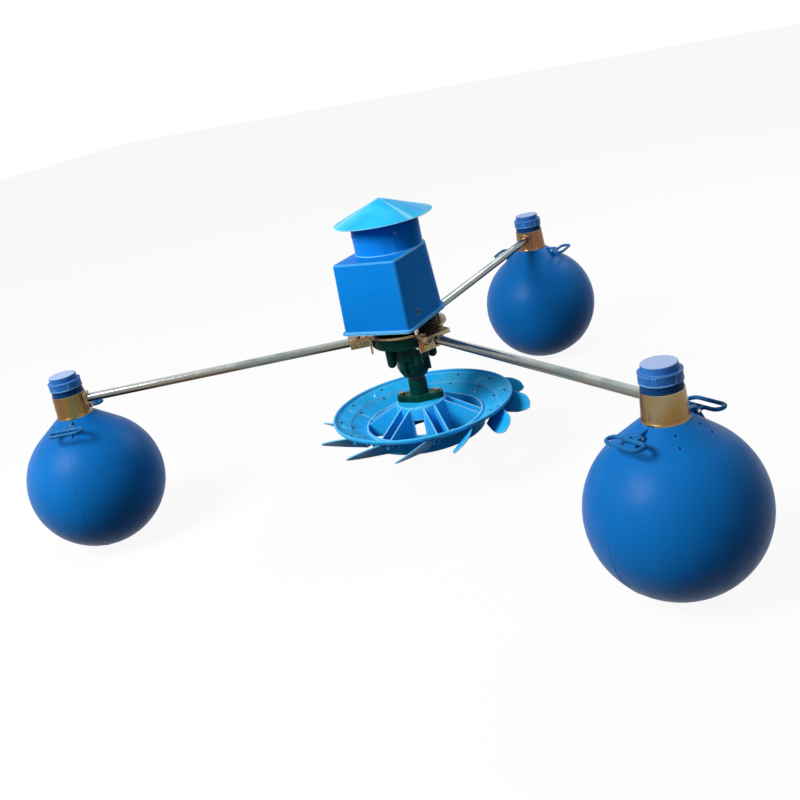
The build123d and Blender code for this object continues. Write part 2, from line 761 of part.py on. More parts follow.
def make_rotor():
    """Rotor shaft, its core, the fan and the sun pinion."""
    with BuildPart() as shaft:
        with BuildSketch(Plane.XY.offset(MOTOR_LOW - 4)):
            Circle(ROTOR_SHAFT_R - 0.05)
        extrude(amount=MOTOR_TOP + 30 - MOTOR_LOW + 4)
        with BuildSketch(Plane.XY.offset(GEAR_LOW)):
            Circle(5.0)
        extrude(amount=MOTOR_LOW - GEAR_LOW)
    finish(shaft, "rotor_shaft")
    with BuildPart() as core:
        ring_solid(ROTOR_SHAFT_R - 0.05, ROTOR_R, CORE_LOW + 2, CORE_HIGH - CORE_LOW - 4)
    finish(core, "rotor_core")
    with BuildPart() as fan:
        ring_solid(ROTOR_SHAFT_R - 0.05, 26, MOTOR_TOP - 14, 34)
        with BuildSketch(Plane.XY.offset(MOTOR_TOP - 14)):
            Circle(66)
            Circle(20, mode=Mode.SUBTRACT)
        extrude(amount=3)
        with BuildSketch(Plane.XY.offset(MOTOR_TOP - 13)):
            with PolarLocations(44, 8):
                Rectangle(42, 3)
        extrude(amount=30)
    finish(fan, "cooling_fan")


# Gears
def teeth(count, start, points):
    """Adds teeth to the open sketch, each the same outline turned about the gear's centre."""
    for k in range(count):
        with Locations(Location((0, 0, 0), (0, 0, start + k * 360 / count))):
            Polygon(*points, align=None)


def tooth_outline(foot, pitch, tip, half_foot, half_pitch, half_tip):
    """Outline of one tooth that points along X."""
    return (
        (foot, -half_foot),
        (pitch, -half_pitch),
        (tip, -half_tip),
        (tip, half_tip),
        (pitch, half_pitch),
        (foot, half_foot),
    )


def make_gears():
    """Ring gear, sun pinion and three planets, in mesh at rest."""
    addendum = 0.9 * MODULE
    dedendum = 1.2 * MODULE
    half_pitch = pi * MODULE / 4 - 0.16
    half_tip = half_pitch - addendum * tan(radians(20))
    half_foot = half_pitch + dedendum * tan(radians(20))
    tall = GEAR_HIGH - GEAR_LOW
    sink = 0.5
    with BuildPart() as ring:
        pitch_r = MODULE * RING_TEETH / 2
        with BuildSketch(Plane.XY.offset(GEAR_LOW)):
            Circle(RING_OUTER_R)
            Circle(pitch_r + dedendum, mode=Mode.SUBTRACT)
            teeth(RING_TEETH, planet_angle(1) + 180 / RING_TEETH, tooth_outline(
                pitch_r + dedendum + sink, pitch_r, pitch_r - addendum,
                half_foot, half_pitch, half_tip))
        extrude(amount=tall)
    finish(ring, "ring_gear")
    with BuildPart() as sun:
        pitch_r = MODULE * SUN_TEETH / 2
        with BuildSketch(Plane.XY.offset(GEAR_LOW)):
            Circle(pitch_r - dedendum)
            teeth(SUN_TEETH, planet_angle(1), tooth_outline(
                pitch_r - dedendum - sink, pitch_r, pitch_r + addendum,
                half_pitch, half_pitch, half_tip))
            Circle(PINION_BORE_R, mode=Mode.SUBTRACT)
        extrude(amount=tall)
    finish(sun, "sun_pinion")
    for number in range(1, PLANET_COUNT + 1):
        with BuildPart() as planet:
            pitch_r = MODULE * PLANET_TEETH / 2
            with BuildSketch(arm_plane(planet_angle(number), GEAR_LOW, PLANET_ORBIT)):
                Circle(pitch_r - dedendum)
                teeth(PLANET_TEETH, 0, tooth_outline(
                    pitch_r - dedendum - sink, pitch_r, pitch_r + addendum,
                    half_foot, half_pitch, half_tip))
                Circle(PLANET_PIN_R + 0.05, mode=Mode.SUBTRACT)
            extrude(amount=tall)
        finish(planet, f"planet_gear_{number}")


def planet_angle(number):
    """Place of a planet on the carrier, in degrees."""
    return 90 + 360 / PLANET_COUNT * (number - 1)


def make_output():
    """Output shaft with the planet carrier, coupling, dust ring and bolts."""
    with BuildPart() as shaft:
        with BuildSketch(Plane.XY):
            Circle(SHAFT_R)
        extrude(amount=184)
        with BuildSketch(Plane.XY.offset(UPPER_BEARING_LOW + BEARING_WIDE + FIT_GAP)):
            Circle(21)
        extrude(amount=14)
        with BuildSketch(Plane.XY.offset(178)):
            Circle(46)
        extrude(amount=GEAR_LOW - 2 - 178)
        with BuildSketch(Plane.XY.offset(GEAR_LOW - 3)):
            with PolarLocations(PLANET_ORBIT, PLANET_COUNT, start_angle=planet_angle(1)):
                Circle(PLANET_PIN_R)
        extrude(amount=GEAR_HIGH - GEAR_LOW + 5)
        with BuildSketch(Plane.XY):
            Circle(4.25)
        extrude(amount=26, mode=Mode.SUBTRACT)
    finish(shaft, "output_shaft")
    with BuildPart() as coupling:
        with BuildSketch(Plane.XY):
            with BuildLine():
                side_r = 33.0
                end_r = 17.0
                make_oval(side_r, end_r, FLANGE_BOLT_ORBIT)
            make_face()
        extrude(amount=FLANGE_THICK)
        fillet(coupling.edges().group_by(Axis.Z)[-1], 3)
        with BuildSketch(Plane.XY):
            Circle(HUB_R)
        extrude(amount=HUB_TOP)
        fillet(coupling.edges().filter_by(GeomType.CIRCLE).group_by(Axis.Z)[-1], 1.5)
        with BuildSketch(Plane.XY.offset(-1)):
            Circle(SHAFT_R)
        extrude(amount=HUB_TOP + 2, mode=Mode.SUBTRACT)
        with BuildSketch(Plane.XY.offset(-1)):
            with PolarLocations(FLANGE_BOLT_ORBIT, 2, start_angle=WEB_PAIR_START):
                Circle(5.3)
        extrude(amount=FLANGE_THICK + 2, mode=Mode.SUBTRACT)
    finish(coupling, "coupling_flange")
    with BuildPart() as dust:
        ring_solid(SHAFT_R, 24, 68, 9)
    finish(dust, "dust_ring")
    with BuildPart() as bolts:
        for angle in (WEB_PAIR_START, WEB_PAIR_START + 180):
            head = Plane(
                origin=(*polar(FLANGE_BOLT_ORBIT, angle), FLANGE_THICK), z_dir=(0, 0, 1))
            bolt(head, 5.0, FLANGE_THICK + PAD_THICK + 12, 9.2, 6.5,
                 nut_at=FLANGE_THICK + PAD_THICK)
    finish(bolts, "coupling_bolts")


def make_oval(side_r, end_r, orbit):
    """Outline of the two-bolt flange: a round middle and two small round ends, joined by tangents."""
    lean = WEB_PAIR_START
    a = (side_r - end_r) / orbit
    tangent = sqrt(1 - a * a)
    points = []
    for sx in (1, -1):
        points.append((sx * (side_r * a), side_r * tangent))
        points.append((sx * (orbit + end_r * a), end_r * tangent))

    def turned(x, y):
        return (
            x * cos(radians(lean)) - y * sin(radians(lean)),
            x * sin(radians(lean)) + y * cos(radians(lean)),
        )

    (m1x, my), (e1x, ey) = points[0], points[1]
    Line(turned(m1x, my), turned(e1x, ey))
    ThreePointArc(turned(e1x, ey), turned(orbit + end_r, 0), turned(e1x, -ey))
    Line(turned(e1x, -ey), turned(m1x, -my))
    ThreePointArc(turned(m1x, -my), turned(0, -side_r), turned(-m1x, -my))
    Line(turned(-m1x, -my), turned(-e1x, -ey))
    ThreePointArc(turned(-e1x, -ey), turned(-orbit - end_r, 0), turned(-e1x, ey))
    Line(turned(-e1x, ey), turned(-m1x, my))
    ThreePointArc(turned(-m1x, my), turned(0, side_r), turned(m1x, my))


def make_housing():
    """Cast gearbox: wide top flange, stepped body, four bolt bosses and the bearing nose."""
    with BuildPart() as housing:
        with BuildSketch(Plane.XZ):
            with BuildLine():
                Polyline(
                    (0, PLATE_LOW),
                    (80, PLATE_LOW),
                    (80, FLANGE_HIGH),
                    (105, FLANGE_HIGH),
                    (105, FLANGE_LOW + 4),
                    (102, FLANGE_LOW),
                    (66, FLANGE_LOW),
                    (54, 176),
                    (53, 136),
                    (50, 132),
                    (46, 130),
                    (46, 100),
                    (42, 92),
                    (36, 80),
                    (0, 80),
                    close=True,
                )
            make_face()
        revolve(axis=Axis.Z)
        with BuildSketch(Plane.XY.offset(BOSS_LOW + BOSS_R)):
            with PolarLocations(BOSS_ORBIT, 4, start_angle=45):
                Circle(BOSS_R)
        extrude(amount=FLANGE_LOW + 2 - BOSS_LOW - BOSS_R)
        with Locations(Location((0, 0, BOSS_LOW + BOSS_R))):
            with PolarLocations(BOSS_ORBIT, 4, start_angle=45):
                Sphere(BOSS_R)
        with BuildSketch(Plane.XY.offset(96)):
            with PolarLocations(44, 4, start_angle=0):
                Rectangle(22, 7)
        extrude(amount=FLANGE_LOW - 96)
        with BuildSketch(Plane.XY.offset(189)):
            Circle(RING_OUTER_R)
        extrude(amount=60, mode=Mode.SUBTRACT)
        with BuildSketch(Plane.XY.offset(176)):
            Circle(48)
        extrude(amount=20, mode=Mode.SUBTRACT)
        with BuildSketch(Plane.XY.offset(LOWER_BEARING_LOW)):
            Circle(BEARING_R)
        extrude(amount=90, mode=Mode.SUBTRACT)
        with BuildSketch(Plane.XY.offset(70)):
            Circle(26)
        extrude(amount=30, mode=Mode.SUBTRACT)
        with BuildSketch(Plane.XY.offset(FLANGE_LOW - 10)):
            with PolarLocations(MOTOR_BOLT_ORBIT, 4, start_angle=45):
                Circle(4.6)
        extrude(amount=50, mode=Mode.SUBTRACT)
    finish(housing, "gearbox_housing")
    with BuildPart() as bolts:
        for angle in (20, 70, 110, 160, 200, 250, 290, 340):
            head = Plane(origin=(*polar(95, angle), FLANGE_HIGH), z_dir=(0, 0, 1))
            with BuildSketch(head):
                RegularPolygon(6.5, 6)
            extrude(amount=5)
    finish(bolts, "gearbox_bolts")


# Impeller
def make_wheel():
    """Moulded wheel: hollow drum with windows, paired webs, dished ring and raised rim."""
    with BuildPart() as wheel:
        with BuildSketch(Plane.XZ):
            with BuildLine():
                Polyline(
                    (DRUM_R - 3, 0),
                    (DRUM_R, -3),
                    (DRUM_R + 3, DRUM_LOW),
                    (DRUM_R + 3 - DRUM_WALL, DRUM_LOW),
                    (DRUM_R - DRUM_WALL, -PAD_THICK),
                    (SHAFT_R + 3, -PAD_THICK),
                    (SHAFT_R + 3, 0),
                    close=True,
                )
            make_face()
        revolve(axis=Axis.Z)
        with BuildSketch(Plane.XZ):
            with BuildLine():
                top = Line((INNER_R - 2, INNER_Z), (INNER_R + 2, INNER_Z))
                lip = Line(top @ 1, (INNER_R + 2, INNER_Z - 8))
                floor_in = Line(lip @ 1, (STEP_R - 1, STEP_Z - 2))
                step = Line(floor_in @ 1, (STEP_R, STEP_Z + 2))
                floor_out = Line(step @ 1, (RIM_R - 7, RIM_Z - 8))
                rim_in = Line(floor_out @ 1, (RIM_R - 6, RIM_Z - 2))
                bead = ThreePointArc(
                    rim_in @ 1, (RIM_R - 2, RIM_Z + 2), (RIM_R + 2, RIM_Z - 2))
                skirt = Line(bead @ 1, (RIM_R, RIM_Z - SKIRT_DEEP))
                under = Line(skirt @ 1, (STEP_R + 2, STEP_Z - DISH_WALL))
                under_step = Line(under @ 1, (STEP_R + 1, STEP_Z - 2 - DISH_WALL))
                under_in = Line(under_step @ 1, (INNER_R + 2, INNER_Z - 8 - DISH_WALL))
                wall = Line(under_in @ 1, (INNER_R + 2, INNER_Z - WALL_DEEP))
                wall_low = Line(wall @ 1, (INNER_R - 2, INNER_Z - WALL_DEEP))
                Line(wall_low @ 1, top @ 0)
            make_face()
        revolve(axis=Axis.Z)
        for k in range(WEB_PAIRS):
            angle = WEB_PAIR_START + 360 / WEB_PAIRS * k
            for side in (1, -1):
                shift = side * WEB_HALF_GAP
                web_plane = Plane(
                    origin=(*polar(shift, angle + 90), 0),
                    x_dir=(*polar(1, angle), 0),
                    z_dir=(*polar(1, angle - 90), 0),
                )
                inner_x = sqrt((DRUM_R - 3) ** 2 - (WEB_HALF_GAP + 2) ** 2)
                outer_x = sqrt(INNER_R**2 - (WEB_HALF_GAP + 2) ** 2)
                with BuildSketch(web_plane.offset(-WEB_THICK / 2)):
                    with BuildLine():
                        Polyline(
                            (inner_x, -3),
                            (outer_x, INNER_Z - 2),
                            (outer_x, INNER_Z - WALL_DEEP),
                            (inner_x, WEB_FOOT),
                            close=True,
                        )
                    make_face()
                extrude(amount=WEB_THICK)
        for angle in (45, 165, 285):
            window = Plane(
                origin=(*polar(DRUM_R - 20, angle), -62), z_dir=(*polar(1, angle), 0),
                x_dir=(*polar(1, angle + 90), 0))
            with BuildSketch(window):
                Rectangle(WINDOW_WIDE, 48)
            extrude(amount=40, mode=Mode.SUBTRACT)
        with BuildSketch(Plane.XY.offset(-PAD_THICK - 1)):
            with PolarLocations(FLANGE_BOLT_ORBIT, 2, start_angle=WEB_PAIR_START):
                Circle(5.3)
        extrude(amount=PAD_THICK + 2, mode=Mode.SUBTRACT)
        with BuildSketch(Plane.XY.offset(INNER_Z - 20)):
            for k in range(BLADES):
                for radius, depth in BLADE_SCREWS:
                    spot = blade_point(k, radius, depth)
                    with Locations((spot.X, spot.Y)):
                        Circle(BLADE_SCREW_R + 0.2)
            with PolarLocations(OUTER_SLOT_R, BLADES, start_angle=BLADE_TIP_START - 3):
                SlotOverall(16, 3.4, rotation=-35)
            with PolarLocations(INNER_SLOT_R, BLADES // 2, start_angle=BLADE_TIP_START - 6):
                SlotOverall(22, 4.0, rotation=20)
        extrude(amount=60, mode=Mode.SUBTRACT)
    finish(wheel, "impeller_wheel")


def blade_frame(number):
    """Root point, direction along the blade and direction up its leaning face."""
    tip_angle = BLADE_TIP_START + 360 / BLADES * number
    root = Vector(*polar(BLADE_ROOT_R, tip_angle + BLADE_SWEEP), BLADE_LOW)
    tip = Vector(*polar(BLADE_TIP_R, tip_angle), BLADE_LOW)
    along = (tip - root).normalized()
    across = Vector(-along.Y, along.X, 0)
    lean = radians(BLADE_LEAN)
    rise = across * sin(lean) + Vector(0, 0, cos(lean))
    return root, along, rise, (tip - root).length


def blade_point(number, radius, height):
    """Point of a blade's face at a radius from the spin axis and a height."""
    root, along, rise, length = blade_frame(number)
    start = root + rise * ((height - BLADE_LOW) / rise.Z)
    start_dot = start.X * along.X + start.Y * along.Y
    start_square = start.X**2 + start.Y**2
    reach = -start_dot + sqrt(start_dot**2 - start_square + radius**2)
    return start + along * reach


def make_blades():
    """Twelve swept, leaning petals with screw bosses under the dish, as solids of one set."""
    with BuildPart() as blades:
        for k in range(BLADES):
            root, along, rise, length = blade_frame(k)
            face = Plane(origin=root, x_dir=along, z_dir=along.cross(rise))
            with BuildSketch(face):
                with BuildLine():
                    low = Line((0, 0), (length * 0.55, 0))
                    belly = Spline(
                        low @ 1,
                        (length * 0.85, BLADE_TALL * 0.22),
                        (length, BLADE_TALL * 0.85),
                        tangents=((1, 0), (0.15, 1)),
                    )
                    crown = Spline(
                        belly @ 1,
                        (length * 0.88, BLADE_TALL * 1.38),
                        (length * 0.66, BLADE_TALL * 1.1),
                        tangents=((0.15, 1), (-1, -0.5)),
                    )
                    top = Line(crown @ 1, (0, BLADE_TALL * 1.1))
                    Line(top @ 1, low @ 0)
                make_face()
            extrude(amount=BLADE_THICK)
            for radius, depth in BLADE_SCREWS:
                spot = blade_point(k, radius, depth)
                with BuildSketch(Plane(origin=(spot.X, spot.Y, depth - BOSS_DEEP), z_dir=(0, 0, 1))):
                    Circle(SCREW_BOSS_R)
                extrude(amount=BOSS_DEEP + 8)
        # The dish and the rim above the blades shape their top edges
        with BuildSketch(Plane.XZ):
            with BuildLine():
                Polyline(
                    (INNER_R - 40, 0),
                    (INNER_R - 40, INNER_Z - WALL_DEEP),
                    (INNER_R + 2 + BLADE_GAP, INNER_Z - WALL_DEEP),
                    (INNER_R + 2 + BLADE_GAP, INNER_Z - 8 - DISH_WALL - BLADE_GAP),
                    (STEP_R + 1, STEP_Z - 2 - DISH_WALL - BLADE_GAP),
                    (STEP_R + 2, STEP_Z - DISH_WALL - BLADE_GAP),
                    (RIM_R + BLADE_GAP, RIM_Z - SKIRT_DEEP - BLADE_GAP),
                    (RIM_R + 2 + BLADE_GAP, RIM_Z - 2),
                    (RIM_R + 2 + BLADE_GAP, 0),
                    close=True,
                )
            make_face()
        revolve(axis=Axis.Z, mode=Mode.SUBTRACT)
        for k in range(BLADES):
            for radius, depth in BLADE_SCREWS:
                spot = blade_point(k, radius, depth)
                with BuildSketch(Plane(origin=(spot.X, spot.Y, depth - BOSS_DEEP + 2), z_dir=(0, 0, 1))):
                    Circle(BLADE_SCREW_R)
                extrude(amount=40, mode=Mode.SUBTRACT)
    finish(blades, "impeller_blades")
    with BuildPart() as screws:
        for k in range(BLADES):
            for radius, depth in BLADE_SCREWS:
                spot = blade_point(k, radius, depth)
                top = depth + DISH_WALL + SCREW_RISE
                with BuildSketch(Plane(origin=(spot.X, spot.Y, depth - BOSS_DEEP + 3), z_dir=(0, 0, 1))):
                    Circle(BLADE_SCREW_R)
                extrude(amount=top - depth + BOSS_DEEP - 3)
                with BuildSketch(Plane(origin=(spot.X, spot.Y, top), z_dir=(0, 0, 1))):
                    Circle(SCREW_HEAD_R)
                extrude(amount=2.2, taper=20)
    finish(screws, "blade_screws")


for count, arm_angle in enumerate(ARM_ANGLES, start=1):
    make_float(count, arm_angle)
    make_collar(count, arm_angle)
    make_cap(count, arm_angle)
    make_handle(f"rope_handle_{count}a", arm_angle, 1)
    make_handle(f"rope_handle_{count}b", arm_angle, -1)
    make_arm(count, arm_angle)
    make_bracket(count, arm_angle)
make_handle_pins()
make_hub_plate()
make_arm_bolts()
make_collar_bolts()
make_cover()
make_hat()
make_hat_brackets()
make_hat_screws()
make_cover_studs()
make_motor()
make_bearings()
make_rotor()
make_gears()
make_output()
make_housing()
make_wheel()
make_blades()
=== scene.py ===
"""Looks of the floating pond aerator: finishes, visual pieces, stage, light and camera."""

from __future__ import annotations

import json
import logging
import math
from dataclasses import dataclass, field
from enum import Enum
from typing import Any, Iterable, Sequence

import bmesh
import bpy
from mathutils import Matrix, Vector

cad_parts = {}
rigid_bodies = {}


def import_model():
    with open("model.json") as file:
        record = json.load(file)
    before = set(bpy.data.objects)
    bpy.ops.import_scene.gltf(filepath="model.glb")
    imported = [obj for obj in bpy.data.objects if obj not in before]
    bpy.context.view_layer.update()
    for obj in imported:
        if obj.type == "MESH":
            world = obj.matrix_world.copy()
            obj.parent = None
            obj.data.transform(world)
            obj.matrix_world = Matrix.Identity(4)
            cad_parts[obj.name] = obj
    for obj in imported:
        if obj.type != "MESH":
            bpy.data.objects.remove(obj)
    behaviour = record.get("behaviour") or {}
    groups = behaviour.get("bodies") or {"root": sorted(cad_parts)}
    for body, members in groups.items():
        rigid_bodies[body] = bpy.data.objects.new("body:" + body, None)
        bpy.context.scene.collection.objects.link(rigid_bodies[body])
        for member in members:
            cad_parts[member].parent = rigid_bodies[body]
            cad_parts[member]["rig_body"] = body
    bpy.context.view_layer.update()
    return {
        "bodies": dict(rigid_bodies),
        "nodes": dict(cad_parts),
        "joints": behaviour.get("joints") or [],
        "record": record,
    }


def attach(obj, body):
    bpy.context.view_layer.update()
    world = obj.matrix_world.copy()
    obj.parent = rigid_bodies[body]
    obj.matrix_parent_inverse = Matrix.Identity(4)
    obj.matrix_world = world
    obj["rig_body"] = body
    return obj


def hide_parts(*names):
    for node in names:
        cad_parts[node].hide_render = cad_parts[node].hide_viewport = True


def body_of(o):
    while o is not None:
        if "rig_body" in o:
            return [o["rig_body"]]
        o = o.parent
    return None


LOG = logging.getLogger("aerator")

Colour = tuple[float, float, float]
Point = tuple[float, float, float]
Span = tuple[float, float]

WHITE: Colour = (1.0, 1.0, 1.0)


def rgba(colour: Colour) -> tuple[float, float, float, float]:
    """Adds full opacity to a linear colour."""
    return (*colour, 1.0)


class Arm(Enum):
    """The three arms, by number, with the angle each one points in."""

    BACK = (1, 90.0)
    LEFT = (2, 210.0)
    RIGHT = (3, 330.0)

    @property
    def number(self) -> int:
        """Number that ends the names of this arm's CAD nodes."""
        return self.value[0]

    @property
    def angle(self) -> float:
        """Direction of the arm in degrees about the spin axis."""
        return self.value[1]

    def at(self, radius: float, height: float, aside: float = 0.0) -> Vector:
        """Point beside this arm's line.

        Args:
            radius: Distance along the arm from the spin axis, in metres.
            height: Height in the row frame, in metres.
            aside: Distance to the left of the arm, in metres.

        Returns:
            The point in the row frame.
        """
        out = Vector((math.cos(math.radians(self.angle)), math.sin(math.radians(self.angle)), 0.0))
        left = Vector((-out.y, out.x, 0.0))
        return out * radius + left * aside + Vector((0.0, 0.0, height))


@dataclass(frozen=True)
class Pattern:
    """Noise on a surface: features per metre, finer layers, warp, and stretch on each axis."""

    scale: float
    detail: float
    warp: float = 0.0
    stretch: Point | None = None


@dataclass(frozen=True)
class Marks:
    """Marks that a pattern leaves: how far they cover, and where they begin and are full."""

    pattern: Pattern
    share: float
    start: float
    stop: float


@dataclass(frozen=True)
class Relief:
    """Relief that a pattern gives a surface: the share of it that shows, and its height in metres."""

    pattern: Pattern
    share: float
    height: float


@dataclass(frozen=True)
class Fade:
    """Another colour above some height, with the height over which it comes in and its cover."""

    height: float
    colour: Colour
    over: float = 0.0015
    share: float = 0.85


class Graph:
    """Small helper that adds and links shader nodes in one material."""

    EDGE_SAMPLES = 6
    EDGE_TURN = 0.06
    MIX_FIRST = 6
    MIX_SECOND = 7
    MIX_RESULT = 2

    def __init__(self, name: str) -> None:
        """Starts a material with a Principled shader on its output.

        Args:
            name: Name of the new material.
        """
        self.material = bpy.data.materials.new(name)
        self.material.use_nodes = True
        self.tree = self.material.node_tree
        self.tree.nodes.clear()
        output = self.tree.nodes.new("ShaderNodeOutputMaterial")
        self.shader = self.tree.nodes.new("ShaderNodeBsdfPrincipled")
        self.link(self.shader.outputs["BSDF"], output.inputs["Surface"])
        self.place = self.tree.nodes.new("ShaderNodeTexCoord").outputs["Object"]

    def link(self, source: Any, target: Any) -> None:
        """Joins an output socket to an input socket."""
        self.tree.links.new(source, target)

    def set(self, **values: Any) -> None:
        """Sets fixed values on the shader, by socket names with underscores for spaces."""
        for key, value in values.items():
            self.shader.inputs[key.replace("_", " ")].default_value = value

    def stretched(self, scale: Point) -> Any:
        """Object coordinates scaled unevenly, for drawn or brushed marks.

        Args:
            scale: Factor on each axis.

        Returns:
            The mapped vector socket.
        """
        mapping = self.tree.nodes.new("ShaderNodeMapping")
        mapping.inputs["Scale"].default_value = scale
        self.link(self.place, mapping.inputs["Vector"])
        return mapping.outputs["Vector"]

    def noise(self, pattern: Pattern) -> Any:
        """Adds a noise texture on object coordinates.

        Args:
            pattern: Scale, layers, warp and stretch of the noise.

        Returns:
            The noise value socket.
        """
        node = self.tree.nodes.new("ShaderNodeTexNoise")
        node.inputs["Scale"].default_value = pattern.scale
        node.inputs["Detail"].default_value = pattern.detail
        node.inputs["Distortion"].default_value = pattern.warp
        place = self.stretched(pattern.stretch) if pattern.stretch else self.place
        self.link(place, node.inputs["Vector"])
        return node.outputs["Fac"]

    def ramp(self, value: Any, stops: Sequence[tuple[float, Colour]]) -> Any:
        """Turns a value into a colour.

        Args:
            value: Value socket.
            stops: Positions from 0 to 1 with their colours.

        Returns:
            The colour socket.
        """
        node = self.tree.nodes.new("ShaderNodeValToRGB")
        elements = node.color_ramp.elements
        while len(elements) < len(stops):
            elements.new(0.5)
        for element, (position, colour) in zip(elements, stops):
            element.position = position
            element.color = rgba(colour)
        self.link(value, node.inputs["Fac"])
        return node.outputs["Color"]

    def spread(self, value: Any, low: float, high: float, start: float = 0.3, stop: float = 0.7) -> Any:
        """Maps the middle of a noise value to a range.

        Args:
            value: Value socket.
            low: Result at the start.
            high: Result at the stop.
            start: Lower end of the input.
            stop: Upper end of the input.

        Returns:
            The mapped value socket.
        """
        node = self.tree.nodes.new("ShaderNodeMapRange")
        node.inputs["From Min"].default_value = start
        node.inputs["From Max"].default_value = stop
        node.inputs["To Min"].default_value = low
        node.inputs["To Max"].default_value = high
        self.link(value, node.inputs["Value"])
        return node.outputs["Result"]

    def blend(self, factor: Any, first: Any, second: Colour) -> Any:
        """Mixes a fixed colour over another by a mask.

        Args:
            factor: Mask value socket.
            first: Colour socket that shows where the mask is 0.
            second: Colour that shows where the mask is 1.

        Returns:
            The mixed colour socket.
        """
        node = self.tree.nodes.new("ShaderNodeMix")
        node.data_type = "RGBA"
        self.link(factor, node.inputs["Factor"])
        self.link(first, node.inputs[self.MIX_FIRST])
        node.inputs[self.MIX_SECOND].default_value = rgba(second)
        return node.outputs[self.MIX_RESULT]

    def marked(self, colour: Any, marks: Marks, over: Colour) -> Any:
        """Lays marks of a fixed colour over another colour.

        Args:
            colour: Colour socket below.
            marks: Pattern and cover of the marks.
            over: Colour of the marks.

        Returns:
            The mixed colour socket.
        """
        mask = self.spread(self.noise(marks.pattern), 0.0, marks.share, marks.start, marks.stop)
        return self.blend(mask, colour, over)

    def worn(self, colour: Any, radius: float, share: float, over: Colour) -> Any:
        """Lays a colour over the edges of a surface: wear, and on the bright blue plastics a painted
        highlight.

        Args:
            colour: Colour socket below.
            radius: Width of the edge band in metres.
            share: How far the edge colour covers at the very edge.
            over: The edge colour, for both wear and painted highlight.

        Returns:
            The mixed colour socket.
        """
        return self.blend(self.spread(self.edges(radius), 0.0, share, 0.0, 1.0), colour, over)

    def height(self) -> Any:
        """Height in the row frame, from object coordinates."""
        node = self.tree.nodes.new("ShaderNodeSeparateXYZ")
        self.link(self.place, node.inputs["Vector"])
        return node.outputs["Z"]

    def turned_from(self, turn: float) -> Any:
        """Measures how far round the spin axis a point lies from a given direction.

        Args:
            turn: The direction, as a share of a full turn.

        Returns:
            The distance socket, as a share of a full turn.
        """
        round_axis = self.tree.nodes.new("ShaderNodeTexGradient")
        round_axis.gradient_type = "RADIAL"
        self.link(self.place, round_axis.inputs["Vector"])
        apart = self.tree.nodes.new("ShaderNodeMath")
        apart.operation = "SUBTRACT"
        apart.inputs[1].default_value = turn
        self.link(round_axis.outputs["Fac"], apart.inputs[0])
        size = self.tree.nodes.new("ShaderNodeMath")
        size.operation = "ABSOLUTE"
        self.link(apart.outputs["Value"], size.inputs[0])
        return size.outputs["Value"]

    def edges(self, radius: float) -> Any:
        """Finds the rounded-over edges, which hands and water rub and where some finishes paint a
        highlight.

        Args:
            radius: Width of the edge band in metres.

        Returns:
            The mask value socket, 1 on an edge.
        """
        rounded = self.tree.nodes.new("ShaderNodeBevel")
        rounded.samples = self.EDGE_SAMPLES
        rounded.inputs["Radius"].default_value = radius
        flat = self.tree.nodes.new("ShaderNodeNewGeometry")
        turn = self.tree.nodes.new("ShaderNodeVectorMath")
        turn.operation = "DOT_PRODUCT"
        self.link(rounded.outputs["Normal"], turn.inputs[0])
        self.link(flat.outputs["Normal"], turn.inputs[1])
        return self.spread(turn.outputs["Value"], 1.0, 0.0, 1.0 - self.EDGE_TURN, 1.0)

    def relief(self, relief: Relief, below: Any = None) -> Any:
        """Adds surface relief from a noise pattern.

        Args:
            relief: Pattern and height of the relief.
            below: Normal socket of a relief that this one is laid on.

        Returns:
            The normal socket.
        """
        node = self.tree.nodes.new("ShaderNodeBump")
        node.inputs["Strength"].default_value = relief.share
        node.inputs["Distance"].default_value = relief.height
        self.link(self.noise(relief.pattern), node.inputs["Height"])
        if below is not None:
            self.link(below, node.inputs["Normal"])
        return node.outputs["Normal"]

    def connect(self, colour: Any, roughness: Any, normal: Any) -> bpy.types.Material:
        """Joins the varied sockets to the shader.

        Args:
            colour: Colour socket.
            roughness: Roughness socket.
            normal: Normal socket.

        Returns:
            The finished material.
        """
        self.link(colour, self.shader.inputs["Base Color"])
        self.link(roughness, self.shader.inputs["Roughness"])
        self.link(normal, self.shader.inputs["Normal"])
        return self.material


